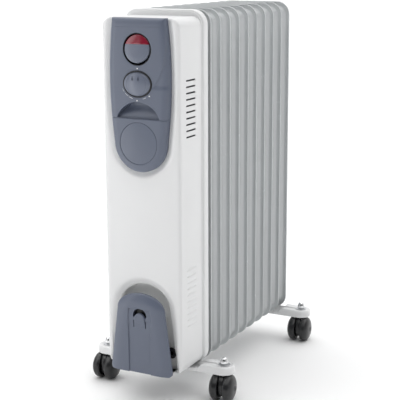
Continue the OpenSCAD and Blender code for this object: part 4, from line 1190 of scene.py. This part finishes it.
neck_top = span("caster_body_fr")[1][2]
for c in casters:
    o = body_outline()
    side = lambda x, g: np.stack([np.full(len(o), x), grow(o, g)[:, 0], grow(o, g)[:, 1]], 1)
    stations = ((-4, -0.9), (-3.7, -0.25), (-3.1, 0), (3.1, 0), (3.7, -0.25), (4, -0.9))
    web = skin("web", [side(x, g) for x, g in stations])
    n = neck_top - WHEEL_R
    neck = [(2.56, 22), (2.56, n), (5.4, n), (6.2, n - 0.4), (6.5, n - 1.2), (6.5, 23.6), (6.3, 22.6)]
    neck += [(5.6, 22.2), (2.56, 22)]
    neck = turned("neck", neck, (0, TRAIL, 0), "z", 40)
    piece = join("caster_moulding_" + c, [web, neck])
    place(piece, c, False)
    finish_piece(piece, "caster_" + c, "caster_plastic", ["caster_body_" + c], 35)
stem_parts = []
for c in casters:
    x, y, _ = stems[c]
    lo, hi = span("caster_stems")
    under = PAD_Z - 2.0
    shank = [(0.2, lo[2]), (2.1, lo[2]), (2.5, lo[2] + 0.5), (2.5, under - 2.1)]
    shank += [(7.6, under - 2.0), (8, under - 1.6), (8, under - 0.2), (7.7, under), (2.5, under)]
    shank += [(2.5, PAD_Z + 1.5)] + [(r, z) for r, z in thread(2.5, PAD_Z + 1.6, hi[2])[2:]] + [(0.2, hi[2])]
    stem_parts.append(turned("stem", shank, (x, y, 0), "z", 28))
finish_piece(join("caster_stem_set", stem_parts), "heater", "bright_steel", ["caster_stems"])

# %% [markdown]
# ## Cable gland
# The cord enters through a flanged rubber bush in the back wall of the niche.

# %% Build the gland
y0, y1 = gland_lo[1], gland_hi[1]
flanges = [
    (4, 0.5), (4.5, 0), (8.4, 0), (9, 0.6), (9, 3.2), (8.6, 4), (7, 4), (7, 5.2), (8.6, 5.3), (9, 6), (9, 7.6),
    (8.4, 8.2), (7, 8.2),
]
g = [(r, y0 + s) for r, s in flanges]
y = y0 + 9
while y < y1 - 1.5:
    g += [(6.9, y), (6.9, y + 0.8), (6.2, y + 1.0), (6.2, y + 1.6)]
    y += 1.9
g += [(6.4, y1 - 0.4), (6, y1), (4, y1), (4, y0 + 0.5)]
finish_piece(turned("cable_gland_bush", g, (GX, 0, GZ), "y", 48), "heater", "black_plastic", ["cable_gland"])
print("gland at", GX, GZ)

# %% [markdown]
# ## Shader helpers
# Material maths reads best as arithmetic, so a small wrapper turns operators on sockets into Math nodes.
# Colours and vectors go through Mix and Vector Math nodes.


# %% Socket wrapper and material builder
class Sock:
    """An output socket; operators on it add Math nodes."""

    def __init__(self, mat, socket):
        self.mat, self.socket = mat, socket

    def _do(self, op, a, b=None):
        values = {0: a} if b is None else {0: a, 1: b}
        return self.mat.add("ShaderNodeMath", {"operation": op}, values)

    def __add__(self, other): return self._do("ADD", self, other)
    def __radd__(self, other): return self._do("ADD", other, self)
    def __sub__(self, other): return self._do("SUBTRACT", self, other)
    def __rsub__(self, other): return self._do("SUBTRACT", other, self)
    def __mul__(self, other): return self._do("MULTIPLY", self, other)
    def __rmul__(self, other): return self._do("MULTIPLY", other, self)
    def __truediv__(self, other): return self._do("DIVIDE", self, other)
    def __rtruediv__(self, other): return self._do("DIVIDE", other, self)
    def __pow__(self, other): return self._do("POWER", self, other)
    def __rpow__(self, other): return self._do("POWER", other, self)
    def __neg__(self): return self._do("MULTIPLY", self, -1.0)
    def __gt__(self, other): return self._do("GREATER_THAN", self, other)
    def __lt__(self, other): return self._do("LESS_THAN", self, other)


class Material:
    """A procedural material. add() makes any node: its type, its settings and its inputs."""

    def __init__(self, name):
        self.data = bpy.data.materials.new(name)
        self.data.use_nodes = True
        self.tree = self.data.node_tree
        self.tree.nodes.clear()
        self.shader = self.tree.nodes.new("ShaderNodeBsdfPrincipled")
        out = self.tree.nodes.new("ShaderNodeOutputMaterial")
        self.tree.links.new(self.shader.outputs[0], out.inputs[0])
        self.place = self.add("ShaderNodeTexCoord", {}, {}, "Object")

    def add(self, kind, settings, inputs, output=0):
        node = self.tree.nodes.new(kind)
        for key, value in settings.items():
            setattr(node, key, value)
        for key, value in inputs.items():
            self.put(node.inputs[key], value)
        return Sock(self, node.outputs[output])

    def put(self, socket, value):
        if isinstance(value, Sock):
            self.tree.links.new(value.socket, socket)
        elif hasattr(value, "__len__") and len(value) == 3 and socket.type == "RGBA":
            socket.default_value = (*value, 1.0)
        else:
            socket.default_value = value

    def noise(self, scale, detail=2.0, stretch=(1, 1, 1), rough=0.5):
        where = self.add("ShaderNodeMapping", {}, {"Vector": self.place, "Scale": stretch})
        inputs = {"Vector": where, "Scale": scale, "Detail": detail, "Roughness": rough}
        return self.add("ShaderNodeTexNoise", {}, inputs)

    def blend(self, factor, a, b):
        """Colour a where the factor is 0, b where it is 1."""
        return self.add("ShaderNodeMix", {"data_type": "RGBA"}, {0: factor, 6: a, 7: b}, 2)

    def ramp(self, value, lo, hi):
        """0 where value is lo and below, 1 where it is hi and above."""
        inputs = {"Value": value, "From Min": lo, "From Max": hi}
        return self.add("ShaderNodeMapRange", {"interpolation_type": "SMOOTHSTEP"}, inputs)

    def bump(self, height, depth):
        """Height in metres, for a height of 1."""
        return self.add("ShaderNodeBump", {}, {"Height": height, "Distance": depth, "Strength": 1.0})

    def set(self, **inputs):
        for key, value in inputs.items():
            self.put(self.shader.inputs[key.replace("_", " ")], value)
        return self


def tint(rgb, k):
    return tuple(min(1.0, c * k) for c in rgb)


# %% [markdown]
# ## Materials
# The real-scale detail matters: powder coat has a skin like orange peel about a millimetre across, moulded
# plastic has a spark-eroded grain of a few tenths, and plated parts are nearly mirrors with fine handling
# marks. Each recipe keeps its constants on the shader's own sockets.


# %% Paints
def powder_coat(name, rgb, rough, peel, coat):
    m = Material(name)
    broad = m.noise(14, 3)
    grain = m.noise(1100, 2)
    wave = m.noise(330, 1)
    dust = m.ramp(m.noise(60, 5, rough=0.62), 0.55, 0.78)
    colour = m.blend((broad - 0.5) * 0.9 + 0.5, tint(rgb, 0.972), tint(rgb, 1.015))
    colour = m.blend(dust * 0.06, colour, tint(rgb, 0.93))
    m.set(Base_Color=colour, Roughness=rough + (broad - 0.5) * 0.05 + dust * 0.02)
    m.set(Coat_Weight=coat, Coat_Roughness=0.12, Specular_IOR_Level=0.5)
    m.set(Normal=m.bump(grain * 0.4 + wave * 0.6, peel))
    return m


MATERIALS = {}
MATERIALS["white_paint"] = powder_coat("white_paint_coat", (0.80, 0.805, 0.81), 0.34, 0.000035, 0.25)
# The fins and collars carry the housing's paint with a slight blue-grey tone, made darker: painted shade for fins
# that stand in each other's shadow.
MATERIALS["fin_paint"] = powder_coat("fin_paint_coat", (0.6, 0.62, 0.63), 0.26, 0.00005, 0.3)


# %% [markdown]
# Mouldings have faint flow marks and a spark-eroded grain, and handling scuffs them lighter. One recipe
# serves every plastic, and its arguments set the colour, gloss, grain, coat and wear.


# %% Plastics and rubber
def plastic(name, rgb, rough, grain, depth, coat=0.0, wear=0.1):
    m = Material(name)
    broad = m.noise(9, 2)
    spark = m.noise(grain, 3, rough=0.65)
    scuff = m.ramp(m.noise(240, 4, stretch=(1, 1, 0.18)), 0.62, 0.74)
    flow = m.noise(22, 3, stretch=(1, 1, 0.3))
    colour = m.blend((flow - 0.5) * 0.8 + 0.5, tint(rgb, 0.965), tint(rgb, 1.03))
    colour = m.blend(scuff * wear, colour, tint(rgb, 1.22))
    m.set(Base_Color=colour, Roughness=rough + (broad - 0.5) * 0.07 + (spark - 0.5) * 0.1 + scuff * 0.05)
    m.set(Coat_Weight=coat, Coat_Roughness=0.2)
    m.set(Normal=m.bump(spark, depth))
    return m


MATERIALS["blue_grey_plastic"] = plastic("blue_grey_abs", (0.118, 0.138, 0.19), 0.34, 1700, 0.00005, 0.1)
MATERIALS["control_plastic"] = plastic("control_abs", (0.15, 0.17, 0.225), 0.31, 2100, 0.00003, 0.12)
MATERIALS["white_plastic"] = plastic("white_abs", (0.8, 0.805, 0.8), 0.36, 1500, 0.00003, 0.1)
MATERIALS["black_plastic"] = plastic("black_pp", (0.009, 0.0095, 0.012), 0.4, 1600, 0.00004)
MATERIALS["caster_plastic"] = plastic("caster_nylon", (0.01, 0.0105, 0.012), 0.33, 1300, 0.00005, 0.15, 0.35)
MATERIALS["gasket_rubber"] = plastic("gasket_epdm", (0.02, 0.02, 0.022), 0.7, 900, 0.00008)


# %% [markdown]
# The lens is deep red with fine vertical ridges that spread the lamp's light. The metals differ in how they
# were finished: zinc plate is duller, chrome is nearly a mirror, and zinc and brass carry faint lines.


# %% Lens and metals
def lens_plastic():
    m = Material("red_lens_pc")
    x = m.add("ShaderNodeSeparateXYZ", {}, {0: m.place}, 0)
    ridge = m.add("ShaderNodeMath", {"operation": "PINGPONG"}, {0: x * 1.0, 1: 0.0007}) * (1 / 0.0007)
    haze = m.noise(500, 3)
    colour = m.blend(ridge * 0.35 + (haze - 0.5) * 0.2, (0.2, 0.004, 0.02), (0.32, 0.014, 0.045))
    m.set(Base_Color=colour, Roughness=0.12 + (haze - 0.5) * 0.06, Coat_Weight=0.6, Coat_Roughness=0.05)
    m.set(IOR=1.58)
    m.set(Normal=m.bump(ridge * 0.7 + haze * 0.3, 0.00006))
    return m


def metal(name, rgb, rough, brushed, depth, spots=0.0):
    m = Material(name)
    hairs = m.noise(700, 4, stretch=brushed)
    broad = m.noise(80, 3)
    stain = m.ramp(m.noise(420, 4), 0.6, 0.75)
    colour = m.blend(broad, tint(rgb, 0.93), tint(rgb, 1.04))
    colour = m.blend(stain * spots, colour, tint(rgb, 0.55))
    m.set(Base_Color=colour, Metallic=1.0, Roughness=rough + (broad - 0.5) * 0.08 + stain * spots * 0.3)
    m.set(Normal=m.bump(hairs, depth))
    return m


MATERIALS["red_lens"] = lens_plastic()
MATERIALS["bright_steel"] = metal("zinc_plated_steel", (0.62, 0.63, 0.65), 0.3, (1, 1, 6), 0.00001, 0.12)
MATERIALS["chrome_plate"] = metal("bright_chrome", (0.78, 0.79, 0.8), 0.07, (1, 1, 1), 0.000002, 0.04)
MATERIALS["brass"] = metal("machined_brass", (0.72, 0.53, 0.22), 0.28, (6, 1, 6), 0.00001, 0.1)

for obj, name in PIECES:
    obj.data.materials.clear()
    obj.data.materials.append(MATERIALS[name].data)
shown = [n for n, o in frame["nodes"].items() if not o.hide_render]
for name in shown:
    node = frame["nodes"][name]
    kept = [m.name if m else "none" for m in node.data.materials]
    print(name, kept)
    slot_name = kept[0].split(".")[0]
    node.data.materials[0] = MATERIALS[slot_name].data
print("CAD nodes shown as they are:", shown)

# %% [markdown]
# ## Floor, light and camera
# A plain pale floor runs to the horizon. The surround is bright behind the heater and dim in front, so the
# plated parts have something dark to mirror. A tall strip close to the front's left edge makes its brightness
# fall off to the right. A larger panel further away lights the right side, and a broad overhead light
# whitens the floor.

# %% Stage
WORLD_SIDE, WORLD_DIM = (-0.36, 0.92, 0.0), 0.1
floor_size = 40.0
mesh = bpy.data.meshes.new("studio_floor")
n = 24
xs = np.linspace(-floor_size, floor_size, n)
verts = [(x, y, -0.0002) for y in xs for x in xs]
corners = [r * n + i for r in range(n - 1) for i in range(n - 1)]
faces = [(c, c + 1, c + n + 1, c + n) for c in corners]
mesh.from_pydata(verts, [], faces)
floor = bpy.data.objects.new("studio_floor", mesh)
scene.collection.objects.link(floor)
floor_mat = Material("floor_sweep")
haze = floor_mat.noise(3, 2)
pale = floor_mat.blend(haze, (0.93, 0.93, 0.93), (0.95, 0.95, 0.95))
floor_mat.set(Base_Color=pale, Roughness=0.75 + haze * 0.05)
mesh.materials.append(floor_mat.data)
floor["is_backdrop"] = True

world = bpy.data.worlds.new("studio")
scene.world = world
world.use_nodes = True
tree = world.node_tree
where = tree.nodes.new("ShaderNodeTexCoord")
split = tree.nodes.new("ShaderNodeVectorMath")
split.operation = "DOT_PRODUCT"
split.inputs[1].default_value = WORLD_SIDE
tree.links.new(where.outputs["Generated"], split.inputs[0])
fall = tree.nodes.new("ShaderNodeMapRange")
fall.interpolation_type = "SMOOTHSTEP"
for key, value in {"From Min": -0.5, "From Max": 0.7, "To Min": WORLD_DIM, "To Max": 1.0}.items():
    fall.inputs[key].default_value = value
tree.links.new(split.outputs["Value"], fall.inputs["Value"])
tree.links.new(fall.outputs[0], tree.nodes["Background"].inputs[1])
tree.nodes["Background"].inputs[0].default_value = (1, 1, 1, 1)


def area(name, place, aim, size, power):
    data = bpy.data.lights.new(name, "AREA")
    data.shape, data.size, data.size_y, data.energy = "RECTANGLE", size[0], size[1], power
    lamp = bpy.data.objects.new(name, data)
    scene.collection.objects.link(lamp)
    lamp.location = place
    lamp.rotation_euler = (Vector(aim) - Vector(place)).to_track_quat("-Z", "Y").to_euler()
    return lamp


area("strip", (-0.42, -0.62, 0.5), (0, -0.2, 0.36), (0.2, 1.0), 1.15)
area("side", (2.4, -0.5, 1.3), (0, 0, 0.3), (1.2, 1.8), 4)
overhead = bpy.data.lights.new("overhead", "SUN")
overhead.energy, overhead.angle = 2.2, 1.6
lamp = bpy.data.objects.new("overhead", overhead)
scene.collection.objects.link(lamp)
lamp.location = (0, 0, 3)

cam_data = bpy.data.cameras.new("camera")
cam = bpy.data.objects.new("camera", cam_data)
scene.collection.objects.link(cam)
scene.camera = cam
az, el, roll = math.radians(27.34), math.radians(12.02), math.radians(-0.19)
forward = Vector((-math.sin(az) * math.cos(el), math.cos(az) * math.cos(el), -math.sin(el)))
cam.rotation_mode = "QUATERNION"
cam.rotation_quaternion = forward.to_track_quat("-Z", "Y") @ Quaternion((0, 0, 1), roll)
cam.location = (0.8815, -1.69095, 0.7252)
cam_data.lens, cam_data.sensor_width = 99.4, 36
cam_data.shift_x, cam_data.shift_y = -0.0128, -0.026
scene.view_settings.view_transform = "Standard"

# %% Work out the sizes and print them
sizes = {"rest": rest_bounds, "visual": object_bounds()}
plain = lambda v: [plain(x) for x in v] if hasattr(v, "__len__") and not isinstance(v, (str, dict)) else ({k: plain(x) for k, x in v.items()} if isinstance(v, dict) else (v if isinstance(v, str) else float(v)))
plain(sizes)
print(plain(sizes))
